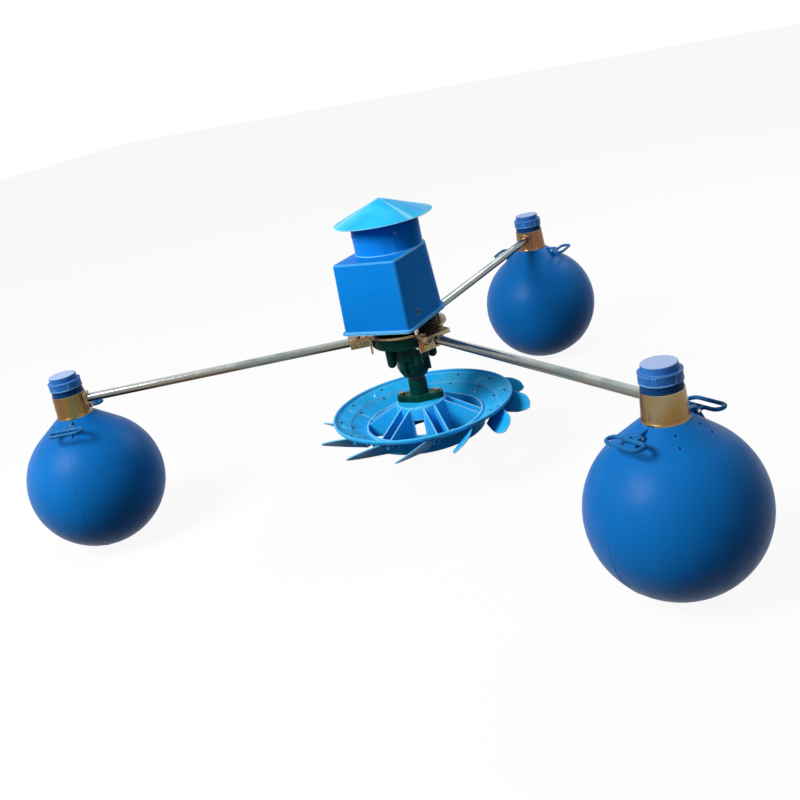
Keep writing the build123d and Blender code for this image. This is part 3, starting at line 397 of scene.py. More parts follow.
@dataclass(frozen=True, kw_only=True)
class MouldedPlastic:
    """Blow or injection moulded plastic with flow marks, scuffs, a fine grain, and edges lightened by
    rubbing and by a painted highlight.

    Attributes:
        cloud: Scale of the cloudy drift between the deep, body and pale colours.
        gloss: Lowest and highest roughness.
        wear: Width of the lightened edges in metres, rubbed and with a painted highlight.
        fade: Another colour on the upper end of a piece; on the floats a painted shade on the thread neck
            under the cap.
        creases: Directions round the spin axis of painted highlight streaks, as shares of a full turn.
        painted_streak_width: Half the width of a painted highlight streak, as a share of a full turn.
    """

    deep: Colour
    body: Colour
    pale: Colour
    scuff: Colour
    worn: Colour
    cloud: float
    gloss: Span = (0.3, 0.42)
    shine: float = 0.22
    wear: float = 0.0016
    wear_and_highlight_share: float = 0.75
    fade: Fade | None = None
    creases: tuple[float, ...] = ()
    painted_streak_width: float = 0.014
    painted_streak_share: float = 0.7
    scuffs: Marks = Marks(Pattern(60.0, 6.0, 1.4, (1.0, 1.0, 0.35)), 0.4, 0.68, 0.78)
    sheen: Pattern = Pattern(26.0, 5.0)
    waves: Relief = Relief(Pattern(11.0, 2.0), 0.2, 0.001)
    grain: Relief = Relief(Pattern(900.0, 2.0), 0.3, 0.0002)

    def build(self, name: str) -> bpy.types.Material:
        """Builds the node material.

        Args:
            name: Name of the new material.

        Returns:
            The material.
        """
        graph = Graph(name)
        clouds = graph.noise(Pattern(self.cloud, detail=4.0, warp=0.6))
        colour = graph.ramp(clouds, ((0.3, self.deep), (0.5, self.body), (0.72, self.pale)))
        colour = graph.marked(colour, self.scuffs, self.scuff)
        # Lighter edges: rubbed wear, and on the bright blues a painted highlight on the rounded edges.
        colour = graph.worn(colour, self.wear, self.wear_and_highlight_share, self.worn)
        # Painted highlight streaks at fixed turns round the spin axis, in the edge colour.
        for turn in self.creases:
            streak_mask = graph.spread(graph.turned_from(turn), self.painted_streak_share, 0.0, 0.0, self.painted_streak_width)
            colour = graph.blend(streak_mask, colour, self.worn)
        # Colour band above a height: on the floats a painted shade on the thread neck under the cap, on the
        # caps a paler top.
        if self.fade is not None:
            start, stop = self.fade.height, self.fade.height + self.fade.over
            upper_band = graph.spread(graph.height(), 0.0, self.fade.share, start, stop)
            colour = graph.blend(upper_band, colour, self.fade.colour)
        rough = graph.spread(graph.noise(self.sheen), *self.gloss)
        graph.set(Specular_IOR_Level=self.shine)
        return graph.connect(colour, rough, graph.relief(self.grain, graph.relief(self.waves)))


@dataclass(frozen=True, kw_only=True)
class PaintedCasting:
    """Enamel over a sand casting: an uneven skin, thin and chipped on its edges."""

    deep: Colour
    body: Colour
    worn: Colour
    chip: Colour
    gloss: Span = (0.26, 0.42)
    shine: float = 0.07
    wear: float = 0.0014
    wear_and_highlight_share: float = 0.7
    drift: Pattern = Pattern(30.0, 5.0, 0.5)
    chips: Marks = Marks(Pattern(170.0, 6.0, 0.8), 0.8, 0.72, 0.76)
    sheen: Pattern = Pattern(60.0, 4.0)
    sand: Relief = Relief(Pattern(260.0, 4.0), 0.5, 0.0006)
    skin: Relief = Relief(Pattern(45.0, 3.0), 0.4, 0.0012)

    def build(self, name: str) -> bpy.types.Material:
        """Builds the node material.

        Args:
            name: Name of the new material.

        Returns:
            The material.
        """
        graph = Graph(name)
        colour = graph.ramp(graph.noise(self.drift), ((0.3, self.deep), (0.7, self.body)))
        colour = graph.worn(colour, self.wear, self.wear_and_highlight_share, self.worn)
        colour = graph.marked(colour, self.chips, self.chip)
        rough = graph.spread(graph.noise(self.sheen), *self.gloss)
        graph.set(Specular_IOR_Level=self.shine)
        return graph.connect(colour, rough, graph.relief(self.skin, graph.relief(self.sand)))


@dataclass(frozen=True, kw_only=True)
class ZincPlate:
    """Yellow passivated zinc: gold that drifts to green and rose in soft bands."""

    green: Colour
    gold: Colour
    rose: Colour
    silver: Colour
    worn: Colour
    gloss: Span = (0.2, 0.34)
    wear: float = 0.0012
    wear_and_highlight_share: float = 0.8
    film: Pattern = Pattern(9.0, 2.0, 0.8, (1.0, 1.0, 0.3))
    speckle: Marks = Marks(Pattern(420.0, 4.0), 0.22, 0.45, 0.7)
    sheen: Pattern = Pattern(90.0, 4.0)
    drawn: Relief = Relief(Pattern(700.0, 3.0), 0.2, 0.00015)

    def build(self, name: str) -> bpy.types.Material:
        """Builds the node material.

        Args:
            name: Name of the new material.

        Returns:
            The material.
        """
        graph = Graph(name)
        bands = (
            (0.3, self.green), (0.4, self.gold), (0.5, self.rose), (0.58, self.gold),
            (0.7, self.silver))
        colour = graph.ramp(graph.noise(self.film), bands)
        colour = graph.marked(colour, self.speckle, self.silver)
        colour = graph.worn(colour, self.wear, self.wear_and_highlight_share, self.worn)
        rough = graph.spread(graph.noise(self.sheen), *self.gloss)
        graph.set(Metallic=1.0)
        return graph.connect(colour, rough, graph.relief(self.drawn))


@dataclass(frozen=True, kw_only=True)
class DrainedZinc:
    """Zinc on the arm tubes, with painted light and shade: bright on top, brown and dark underneath, by
    height.

    Attributes:
        middle: Height of the tubes' axes in the row frame.
        half: Half of the tubes' thickness.
    """

    above: Colour
    side: Colour
    brown: Colour
    below: Colour
    tint: Colour
    middle: float = 0.212
    half: float = 0.0127
    gloss: Span = (0.16, 0.28)
    drift: Marks = Marks(Pattern(5.0, 2.0, 0.6), 0.6, 0.42, 0.62)
    speckle: Marks = Marks(Pattern(500.0, 4.0), 0.16, 0.5, 0.7)
    sheen: Pattern = Pattern(70.0, 4.0)
    drawn: Relief = Relief(Pattern(600.0, 3.0), 0.2, 0.00015)

    def build(self, name: str) -> bpy.types.Material:
        """Builds the node material.

        Args:
            name: Name of the new material.

        Returns:
            The material.
        """
        graph = Graph(name)
        # Painted light and shade: the colour runs by height from dark under the tube to bright on top.
        level = graph.spread(graph.height(), 0.0, 1.0, self.middle - self.half, self.middle + self.half)
        bands = (
            (0.16, self.below), (0.36, self.brown), (0.56, self.side), (0.78, self.side),
            (0.93, self.above))
        colour = graph.ramp(level, bands)
        colour = graph.marked(colour, self.drift, self.tint)
        colour = graph.marked(colour, self.speckle, self.above)
        rough = graph.spread(graph.noise(self.sheen), *self.gloss)
        graph.set(Metallic=1.0)
        return graph.connect(colour, rough, graph.relief(self.drawn))


@dataclass(frozen=True, kw_only=True)
class BareMetal:
    """Uncoated metal with turning or casting marks and a little staining."""

    bright: Colour
    dull: Colour
    gloss: Span = (0.22, 0.42)
    wear: float = 0.0008
    wear_and_highlight_share: float = 0.6
    stain: Pattern = Pattern(55.0, 5.0, 0.6)
    sheen: Pattern = Pattern(120.0, 4.0)
    turned: Relief = Relief(Pattern(160.0, 3.0, 0.0, (1.0, 1.0, 8.0)), 0.3, 0.0003)

    def build(self, name: str) -> bpy.types.Material:
        """Builds the node material.

        Args:
            name: Name of the new material.

        Returns:
            The material.
        """
        graph = Graph(name)
        colour = graph.ramp(graph.noise(self.stain), ((0.3, self.dull), (0.68, self.bright)))
        colour = graph.worn(colour, self.wear, self.wear_and_highlight_share, self.bright)
        rough = graph.spread(graph.noise(self.sheen), *self.gloss)
        graph.set(Metallic=1.0)
        return graph.connect(colour, rough, graph.relief(self.turned))


@dataclass(frozen=True, kw_only=True)
class Rubber:
    """Matt rubber or dark moulding with a dusty bloom."""

    body: Colour
    bloom: Colour
    gloss: Span = (0.6, 0.8)
    dust: Pattern = Pattern(80.0, 6.0, 0.4)
    sheen: Pattern = Pattern(150.0, 3.0)
    grain: Relief = Relief(Pattern(1100.0, 2.0), 0.4, 0.0003)

    def build(self, name: str) -> bpy.types.Material:
        """Builds the node material.

        Args:
            name: Name of the new material.

        Returns:
            The material.
        """
        graph = Graph(name)
        colour = graph.ramp(graph.noise(self.dust), ((0.4, self.body), (0.8, self.bloom)))
        rough = graph.spread(graph.noise(self.sheen), *self.gloss)
        return graph.connect(colour, rough, graph.relief(self.grain))


Finish = MouldedPlastic | PaintedCasting | ZincPlate | DrainedZinc | BareMetal | Rubber


class Finishes:
    """Every finish of the machine, by the record's material slots and a few closer names.

    Attributes:
        CATALOGUE: Each finish by its name.
        CLOSER: Finishes that differ from the slot's, by how the names of their nodes start.
    """

    CATALOGUE: dict[str, Finish] = {
        # Cover: its pale cyan edge colour is a painted highlight on the rounded edges as well as wear.
        "cover_blue": MouldedPlastic(
            deep=(0.003, 0.2, 0.66), body=(0.004, 0.235, 0.75), pale=(0.008, 0.265, 0.82),
            scuff=(0.03, 0.34, 0.88), worn=(0.25, 0.78, 1.0),
            shine=0.02, cloud=4.0, wear=0.005, wear_and_highlight_share=1.0),
        # Rain hat: the cover's blue made lighter as painted light from above, with painted highlight
        # streaks down its cone and a painted highlight on its edges.
        "hat_blue_painted_light": MouldedPlastic(
            deep=(0.004, 0.42, 0.86), body=(0.008, 0.52, 0.93), pale=(0.03, 0.6, 0.97),
            scuff=(0.12, 0.64, 0.97), worn=(0.4, 0.85, 1.0),
            shine=0.12, cloud=9.0, wear=0.003, wear_and_highlight_share=1.0, creases=(0.121, 0.425)),
        # Floats: the dark band above 0.2385 is painted shade on the thread neck under the cap.
        "float_blue": MouldedPlastic(
            deep=(0.002, 0.125, 0.42), body=(0.003, 0.15, 0.49), pale=(0.005, 0.175, 0.55),
            scuff=(0.02, 0.24, 0.62), worn=(0.06, 0.32, 0.72),
            gloss=(0.34, 0.44), shine=0.08, cloud=3.0, fade=Fade(0.2385, (0.004, 0.035, 0.14))),
        # Caps: their pale edges are a painted highlight as well as wear; the band above 0.2932 makes their
        # tops paler.
        "cap_blue": MouldedPlastic(
            deep=(0.015, 0.12, 0.42), body=(0.02, 0.15, 0.49), pale=(0.035, 0.19, 0.56),
            scuff=(0.1, 0.3, 0.65), worn=(0.25, 0.55, 0.88),
            gloss=(0.38, 0.52), cloud=30.0, wear_and_highlight_share=1.0, fade=Fade(0.2932, (0.42, 0.52, 0.78))),
        "handle_blue": MouldedPlastic(
            deep=(0.006, 0.12, 0.34), body=(0.01, 0.15, 0.42), pale=(0.02, 0.19, 0.5),
            scuff=(0.06, 0.28, 0.6), worn=(0.08, 0.34, 0.68),
            shine=0.06, cloud=30.0),
        # Wheel: its pale edges are a painted highlight on the rounded edges as well as wear.
        "wheel_blue": MouldedPlastic(
            deep=(0.01, 0.4, 0.88), body=(0.02, 0.48, 0.95), pale=(0.05, 0.56, 0.98),
            scuff=(0.12, 0.6, 0.98), worn=(0.45, 0.85, 1.0),
            gloss=(0.34, 0.48), shine=0.03, cloud=9.0, wear=0.003, wear_and_highlight_share=1.0),
        "green_iron": PaintedCasting(
            deep=(0.0, 0.03, 0.022), body=(0.001, 0.06, 0.042),
            worn=(0.01, 0.16, 0.12), chip=(0.04, 0.04, 0.035)),
        # The motor frame under the cover, made near black as painted shade.
        "motor_painted_shade": PaintedCasting(
            deep=(0.006, 0.007, 0.008), body=(0.014, 0.016, 0.018),
            worn=(0.04, 0.045, 0.05), chip=(0.06, 0.06, 0.06)),
        "zinc_steel": ZincPlate(
            green=(0.05, 0.1, 0.055), gold=(0.22, 0.13, 0.035), rose=(0.2, 0.075, 0.045),
            silver=(0.3, 0.25, 0.15), worn=(0.85, 0.8, 0.7)),
        # Arm tubes: painted highlight on top and painted shade underneath.
        "tube_zinc_painted_shade": DrainedZinc(
            above=(0.5, 0.53, 0.53), side=(0.24, 0.25, 0.23), brown=(0.13, 0.07, 0.025),
            below=(0.012, 0.015, 0.02), tint=(0.12, 0.19, 0.19)),
        "bright_steel": BareMetal(bright=(0.66, 0.65, 0.62), dull=(0.42, 0.41, 0.4)),
        "gear_steel": BareMetal(bright=(0.5, 0.5, 0.52), dull=(0.26, 0.26, 0.27)),
        "motor_aluminium": BareMetal(
            bright=(0.3, 0.31, 0.32), dull=(0.16, 0.165, 0.17), gloss=(0.4, 0.6),
            turned=Relief(Pattern(160.0, 3.0), 0.3, 0.0003)),
        "copper": BareMetal(bright=(0.78, 0.4, 0.2), dull=(0.5, 0.24, 0.12), gloss=(0.3, 0.46)),
        "black_screw": BareMetal(bright=(0.05, 0.05, 0.055), dull=(0.015, 0.015, 0.018)),
        "black_rubber": Rubber(body=(0.012, 0.012, 0.013), bloom=(0.05, 0.05, 0.05)),
        "dark_plastic": Rubber(body=(0.02, 0.02, 0.022), bloom=(0.06, 0.06, 0.065), gloss=(0.42, 0.6)),
    }
    CLOSER: dict[str, str] = {
        # The rain hat takes the lighter blue with painted light.
        "rain_hat": "hat_blue_painted_light",
        # The arm tubes get painted light and shade.
        "arm_tube": "tube_zinc_painted_shade",
        "rope_handle": "handle_blue",
        # The motor frame is made near black as painted shade under the cover.
        "motor_frame": "motor_painted_shade",
        "hat_screws": "cover_blue",
        "hat_brackets": "cover_blue",
        # The blade screws are made black so that they read as the shade in the dish's screw holes: painted
        # shade.
        "blade_screws": "black_screw",
    }

    def __init__(self) -> None:
        """Starts with nothing built."""
        self._built: dict[str, bpy.types.Material] = {}

    def get(self, finish: str) -> bpy.types.Material:
        """Returns a finish's material, building it once.

        Args:
            finish: Name of the finish in the catalogue.

        Returns:
            The material.
        """
        if finish not in self._built:
            self._built[finish] = self.CATALOGUE[finish].build(finish)
        return self._built[finish]

    def name_for(self, node: str, slot: str) -> str:
        """Finish of a node or piece: its slot's, unless a closer one is named for it."""
        return next((finish for start, finish in self.CLOSER.items() if node.startswith(start)), slot)

    def dress(self, piece: bpy.types.Object, finish: str) -> None:
        """Puts one finish on a whole object."""
        piece.data.materials.clear()
        piece.data.materials.append(self.get(finish))


class Miter(Enum):
    """How a rounded edge turns an outer corner."""

    SHARP = "MITER_SHARP"
    ARC = "MITER_ARC"


@dataclass(frozen=True)
class Rounding:
    """Rounded-over edges: width in metres, segments, and the angle in degrees from which they start."""

    width: float
    segments: int = 2
    sharp: float = 28.0
    miter: Miter = Miter.ARC

    def apply(self, piece: bpy.types.Object) -> None:
        """Marks a piece's sharp edges and rounds them over.

        Args:
            piece: Object whose mesh has its final shape.
        """
        angle = math.radians(self.sharp)
        piece.data.set_sharp_from_angle(angle=angle)
        bevel = piece.modifiers.new("rounding", "BEVEL")
        bevel.width = self.width
        bevel.segments = self.segments
        bevel.limit_method = "ANGLE"
        bevel.angle_limit = angle
        bevel.miter_outer = self.miter.value
        bevel.use_clamp_overlap = True
        bevel.harden_normals = True


@dataclass
class Workshop:
    """What every sub-assembly needs to dress its nodes and add its pieces.

    Attributes:
        frame: The loaded frame.
        finishes: The materials built so far.
        merge: Distance within which the loose corners of a CAD copy are joined.
        flat: Angle in degrees below which faces of a CAD copy count as one plane.
    """

    frame: dict[str, Any]
    finishes: Finishes = field(default_factory=Finishes)
    merge: float = 4e-6
    flat: float = 0.6

    def slot_of(self, node: str) -> str:
        """Looks up the record's material slot of a CAD node."""
        return next(s["material_slot"] for s in self.frame["record"]["subparts"] if s["node"] == node)

    def dress_all(self) -> None:
        """Puts the record's finish on every CAD node."""
        for name, node in self.frame["nodes"].items():
            self.finishes.dress(node, self.finishes.name_for(name, self.slot_of(name)))

    def body_of(self, node: str) -> str:
        """Looks up the body that a CAD node rides on."""
        return body_of(self.frame["nodes"][node])[0]

    def piece(
        self, name: str, mesh: bmesh.types.BMesh, body: str, slot: str, keep_faces: bool = False,
    ) -> bpy.types.Object:
        """Turns a finished bmesh into a dressed object that rides on a body.

        Args:
            name: Name of the new object.
            mesh: Mesh in the row frame, freed here.
            body: CAD body that the piece moves with.
            slot: Record material slot of its finish.
            keep_faces: True where the faces already point the right way.

        Returns:
            The new object.
        """
        if not keep_faces:
            bmesh.ops.recalc_face_normals(mesh, faces=mesh.faces)
        data = bpy.data.meshes.new(name)
        mesh.to_mesh(data)
        mesh.free()
        obj = bpy.data.objects.new(name, data)
        bpy.context.scene.collection.objects.link(obj)
        self.finishes.dress(obj, self.finishes.name_for(name, slot))
        data.shade_smooth()
        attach(obj, body)
        LOG.info("made %s on %s", name, body)
        return obj

    def round_over(self, node: str, rounding: Rounding) -> bpy.types.Object:
        """Makes a copy of a CAD node with rounded edges that stands for it.

        Args:
            node: Name of the CAD node.
            rounding: Width and angle of the rounding.

        Returns:
            The new object.
        """
        mesh = bmesh.new()
        mesh.from_mesh(self.frame["nodes"][node].data)
        bmesh.ops.remove_doubles(mesh, verts=mesh.verts, dist=self.merge)
        bmesh.ops.dissolve_limit(
            mesh, angle_limit=math.radians(self.flat), use_dissolve_boundaries=False,
            verts=mesh.verts, edges=mesh.edges)
        piece = self.piece(f"{node}_rounded", mesh, self.body_of(node), self.slot_of(node), keep_faces=True)
        rounding.apply(piece)
        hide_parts(node)
        return piece


@dataclass
class RoundedCastings:
    """Copies of CAD nodes with their sharp edges rounded over, as moulds and rollers leave them."""

    shop: Workshop
    roundings: tuple[tuple[str, Rounding], ...] = (
        ("impeller_wheel", Rounding(0.0012)),
        ("float_cap", Rounding(0.0009)),
        ("rope_handle", Rounding(0.0012)),
        ("float_collar", Rounding(0.0007)),
        ("arm_bracket", Rounding(0.0008)),
        ("hub_plate", Rounding(0.0008)),
        ("gearbox_housing", Rounding(0.0016)),
        ("coupling_flange", Rounding(0.0014)),
    )

    def build(self) -> None:
        """Replaces each node whose name starts as one of the roundings says."""
        for node in sorted(self.shop.frame["nodes"]):
            for start, rounding in self.roundings:
                if node.startswith(start):
                    self.shop.round_over(node, rounding)


@dataclass
class Hood:
    """Motor cover as moulded: rounded over, its tower reaching up under the rain hat.

    Attributes:
        tower_from: Height above which the copy is raised.
        tower_rise: How far it is raised there.
        hole: Centre of the cable hole.
        ring_radius: Radius of the hole ring's centre line.
        bead_radius: Radius of the hole ring's round section.
    """

    shop: Workshop
    node: str = "motor_cover"
    rounding: Rounding = Rounding(0.0016)
    tower_from: float = 0.526
    tower_rise: float = 0.018
    hole: Point = (0.1021, -0.093, 0.297)
    ring_radius: float = 0.0064
    bead_radius: float = 0.0024
    ring_steps: int = 40
    bead_sides: int = 14

    def build(self) -> None:
        """Builds the cover and the dark ring in its cable hole."""
        piece = self.shop.round_over(self.node, self.rounding)
        for vertex in piece.data.vertices:
            if vertex.co.z > self.tower_from:
                vertex.co.z += self.tower_rise
        self._hole_shade_ring()

    def _hole_shade_ring(self) -> None:
        """Turns a small black rubber ring round the cable hole, which widens the hole's dark opening as
        painted shade.
        """
        mesh = bmesh.new()
        centre = Vector(self.hole)
        bead = Matrix.Translation(centre + Vector((0.0, self.ring_radius, 0.0)))
        bmesh.ops.create_circle(
            mesh, cap_ends=False, radius=self.bead_radius, segments=self.bead_sides, matrix=bead)
        bmesh.ops.spin(
            mesh, geom=mesh.verts[:] + mesh.edges[:], cent=centre, axis=(1.0, 0.0, 0.0),
            angle=math.tau, steps=self.ring_steps, use_merge=True)
        self.shop.piece("cable_hole_shade_ring", mesh, "frame", "black_rubber")


@dataclass
class SweptBlades:
    """Twelve leaf-shaped blades with blunt ends, leaning and twisted under the wheel's dish.

    Attributes:
        first_tip: Direction of the first blade's tip, in degrees.
        sweep: How far round each root lies from its tip, in degrees.
        lean: Lean from upright where the blade isn't twisted, in degrees.
        twist: Turn of the face between root and tip, in degrees.
        even_at: Share of the length where the twist is nil.
        half: Height on the face of the line that the twist turns about.
        reach: Distance from the spin axis that the ends keep within.
        low: Height of the root line.
        shift: How far the root line is moved against the lean.
        clear: Gap kept under the dish.
        least: Width that the gap never trims a blade below.
        trim: Step in which a blade is trimmed.
        underside: Radius and height of points on the dish's underside.
        lower_edge: Share of the length and height on the face, along the lower edge.
        upper_edge: The same along the upper edge.
        screws: Radius of each screw and height of the dish's underside there.
    """

    shop: Workshop
    count: int = 12
    first_tip: float = 10.0
    sweep: float = 20.0
    lean: float = 46.0
    twist: float = 20.0
    even_at: float = 0.4
    half: float = 0.034
    root_radius: float = 0.205
    tip_radius: float = 0.316
    reach: float = 0.3186
    low: float = -0.0770
    shift: float = 0.008
    thick: float = 0.004
    clear: float = 0.0026
    least: float = 0.012
    trim: float = 0.0005
    long_steps: int = 28
    wide_steps: int = 6
    underside: tuple[tuple[float, float], ...] = (
        (0.175, -0.068), (0.222, -0.044), (0.223, -0.042), (0.267, -0.023), (0.400, -0.021))
    lower_edge: tuple[tuple[float, float], ...] = (
        (0.0, 0.0), (0.5, 0.001), (0.72, 0.004), (0.86, 0.011), (0.94, 0.018), (1.0, 0.028))
    upper_edge: tuple[tuple[float, float], ...] = (
        (0.0, 0.068), (0.7, 0.067), (0.82, 0.065), (0.9, 0.061), (0.96, 0.055), (1.0, 0.046))
    screws: tuple[tuple[float, float], ...] = ((0.213, -0.0486), (0.246, -0.0321))
    boss_radius: float = 0.0055
    boss_taper: float = 0.9
    boss_long: float = 0.014
    boss_gap: float = 0.0002
    boss_sides: int = 20
    rounding: Rounding = Rounding(0.0014, segments=3, sharp=40.0, miter=Miter.SHARP)

    def build(self) -> None:
        """Builds the set of blades as one piece that stands for the CAD set."""
        mesh = bmesh.new()
        for number in range(self.count):
            self._blade(mesh, number)
            for radius, height in self.screws:
                self._boss(mesh, number, radius, height)
        piece = self.shop.piece("impeller_blades_moulded", mesh, "impeller", "wheel_blue")
        self.rounding.apply(piece)
        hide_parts("impeller_blades")

    @staticmethod
    def _along(table: Sequence[tuple[float, float]], place: float) -> float:
        """Reads a height from a short table of places and heights.

        Args:
            table: Pairs in rising order of place.
            place: Where to read.

        Returns:
            The height between the two nearest pairs.
        """
        for (first, low), (second, high) in zip(table, table[1:]):
            if place <= second:
                share = max(0.0, (place - first) / (second - first))
                return low + (high - low) * share
        return table[-1][1]

    def _above(self, spot: Vector) -> float:
        """Height of a point over the clear height under the dish, below zero where it is clear."""
        return spot.z - self._along(self.underside, math.hypot(spot.x, spot.y)) + self.clear

    def _place(self, start: Vector, along: Vector, length: float, share: float) -> Vector:
        """Finds a point part of the way from the root line to the blade's end.

        Args:
            start: Point on the root line.
            along: The blade's direction.
            length: The blade's length where nothing shortens it.
            share: How far along, from 0 to 1.

        Returns:
            The point, with the end kept inside the wheel's reach.
        """
        onto = start.x * along.x + start.y * along.y
        room = math.sqrt(onto**2 - start.x**2 - start.y**2 + self.reach**2) - onto
        return start + along * (share * min(length, room))

    def _axes(self, number: int) -> tuple[Vector, Vector, Vector, float]:
        """Finds one blade's root, its direction, its rise up the leaning face and its length.

        Args:
            number: Which blade, from 0.

        Returns:
            Root point, unit direction, unit rise and length.
        """
        tip_angle = math.radians(self.first_tip + 360.0 / self.count * number)
        root_angle = tip_angle + math.radians(self.sweep)
        tip = Vector((math.cos(tip_angle), math.sin(tip_angle), 0.0)) * self.tip_radius
        root = Vector((math.cos(root_angle), math.sin(root_angle), 0.0)) * self.root_radius
        along = (tip - root).normalized()
        lean = math.radians(self.lean)
        across = Vector((-along.y, along.x, 0.0))
        rise = across * math.sin(lean) + Vector((0.0, 0.0, math.cos(lean)))
        start = root - across * self.shift + Vector((0.0, 0.0, self.low))
        return start, along, rise, (tip - root).length

    def _blade(self, mesh: bmesh.types.BMesh, number: int) -> None:
        """Shapes one blade from a grid and gives it its thickness.

        Args:
            mesh: Mesh to add to.
            number: Which blade, from 0.
        """
        root, along, rise, length = self._axes(number)
        grid = bmesh.ops.create_grid(
            mesh, x_segments=self.long_steps, y_segments=self.wide_steps, size=0.5)
        for vertex in grid["verts"]:
            share, level = vertex.co.x + 0.5, vertex.co.y + 0.5
            low = self._along(self.lower_edge, share)
            high = self._along(self.upper_edge, share)
            turn = Matrix.Rotation(-math.radians(self.twist * (share - self.even_at)), 3, along)
            turned = turn @ rise
            start = root + (rise - turned) * self.half
            top = self._place(start + turned * high, along, length, share)
            while high > low + self.least and self._above(top) > 0:
                high -= self.trim
                top = self._place(start + turned * high, along, length, share)
            vertex.co = self._place(start + turned * (low + (high - low) * level), along, length, share)
        faces = list({face for vertex in grid["verts"] for face in vertex.link_faces})
        bmesh.ops.recalc_face_normals(mesh, faces=faces)
        bmesh.ops.solidify(mesh, geom=faces, thickness=self.thick)

    def _boss(self, mesh: bmesh.types.BMesh, number: int, radius: float, height: float) -> None:
        """Adds the boss that one of the blade's screws bites into.

        Args:
            mesh: Mesh to add to.
            number: Which blade, from 0.
            radius: Screw's distance from the spin axis.
            height: Height of the dish's underside there.
        """
        root, along, rise, _ = self._axes(number)
        start = root + rise * ((height - self.low) / rise.z)
        onto = start.x * along.x + start.y * along.y
        reach = -onto + math.sqrt(onto**2 - start.x**2 - start.y**2 + radius**2)
        spot = start + along * reach
        middle = Vector((spot.x, spot.y, height - self.boss_long / 2 - self.boss_gap))
        bmesh.ops.create_cone(
            mesh, cap_ends=True, segments=self.boss_sides, radius1=self.boss_radius * self.boss_taper,
            radius2=self.boss_radius, depth=self.boss_long, matrix=Matrix.Translation(middle))


@dataclass
class Floats:
    """Ball floats: adds the raised parting line of the moulding on each ball, from neck to foot.

    Attributes:
        reach: Distance of the balls' centres from the spin axis.
        centre: Height of the balls' centres.
        start: Angle from a ball's top, in degrees, at which its line starts.
        stop: Angle from a ball's top, in degrees, at which its line stops.
    """

    shop: Workshop
    reach: float = 1.0
    centre: float = -0.042
    radius: float = 0.2
    line_radius: float = 0.0008
    line_sides: int = 8
    start: float = 40.0
    stop: float = 168.0
    steps: int = 96

    def build(self) -> None:
        """Builds the parting lines of all three floats."""
        for arm in Arm:
            for side in (1.0, -1.0):
                self._parting_line(arm, side)

    def _parting_line(self, arm: Arm, side: float) -> None:
        """Sweeps a small round bead down one half of a ball's joint.

        Args:
            arm: Arm that carries the float.
            side: 1 for the half to the left of the arm, -1 for the right.
        """
        mesh = bmesh.new()
        ball = arm.at(self.reach, self.centre)
        outward = arm.at(1.0, 0.0).normalized()
        first = math.radians(self.start)
        along = arm.at(0.0, math.cos(first), side * math.sin(first)).normalized()
        onward = arm.at(0.0, -math.sin(first), side * math.cos(first)).normalized()
        facing = Matrix((outward, onward.cross(outward), onward)).transposed().to_4x4()
        place = Matrix.Translation(ball + along * self.radius) @ facing
        bmesh.ops.create_circle(
            mesh, cap_ends=False, radius=self.line_radius, segments=self.line_sides, matrix=place)
        bmesh.ops.spin(
            mesh, geom=mesh.verts[:] + mesh.edges[:], cent=ball, axis=along.cross(onward),
            angle=math.radians(self.stop - self.start), steps=self.steps, use_merge=False)
        bmesh.ops.holes_fill(mesh, edges=[edge for edge in mesh.edges if edge.is_boundary], sides=0)
        tag = "left" if side > 0 else "right"
        self.shop.piece(f"parting_line_{arm.number}_{tag}", mesh, "frame", "float_blue")


@dataclass(frozen=True)
class Softbox:
    """One rectangular studio light."""

    name: str
    place: Point
    aim: Point
    size: tuple[float, float]
    power: float

    def build(self) -> None:
        """Adds the light to the scene."""
        data = bpy.data.lights.new(self.name, "AREA")
        data.shape = "RECTANGLE"
        data.size, data.size_y = self.size
        data.energy = self.power
        light = bpy.data.objects.new(self.name, data)
        bpy.context.scene.collection.objects.link(light)
        light.location = self.place
        light.rotation_euler = (Vector(self.aim) - Vector(self.place)).to_track_quat("-Z", "Y").to_euler()


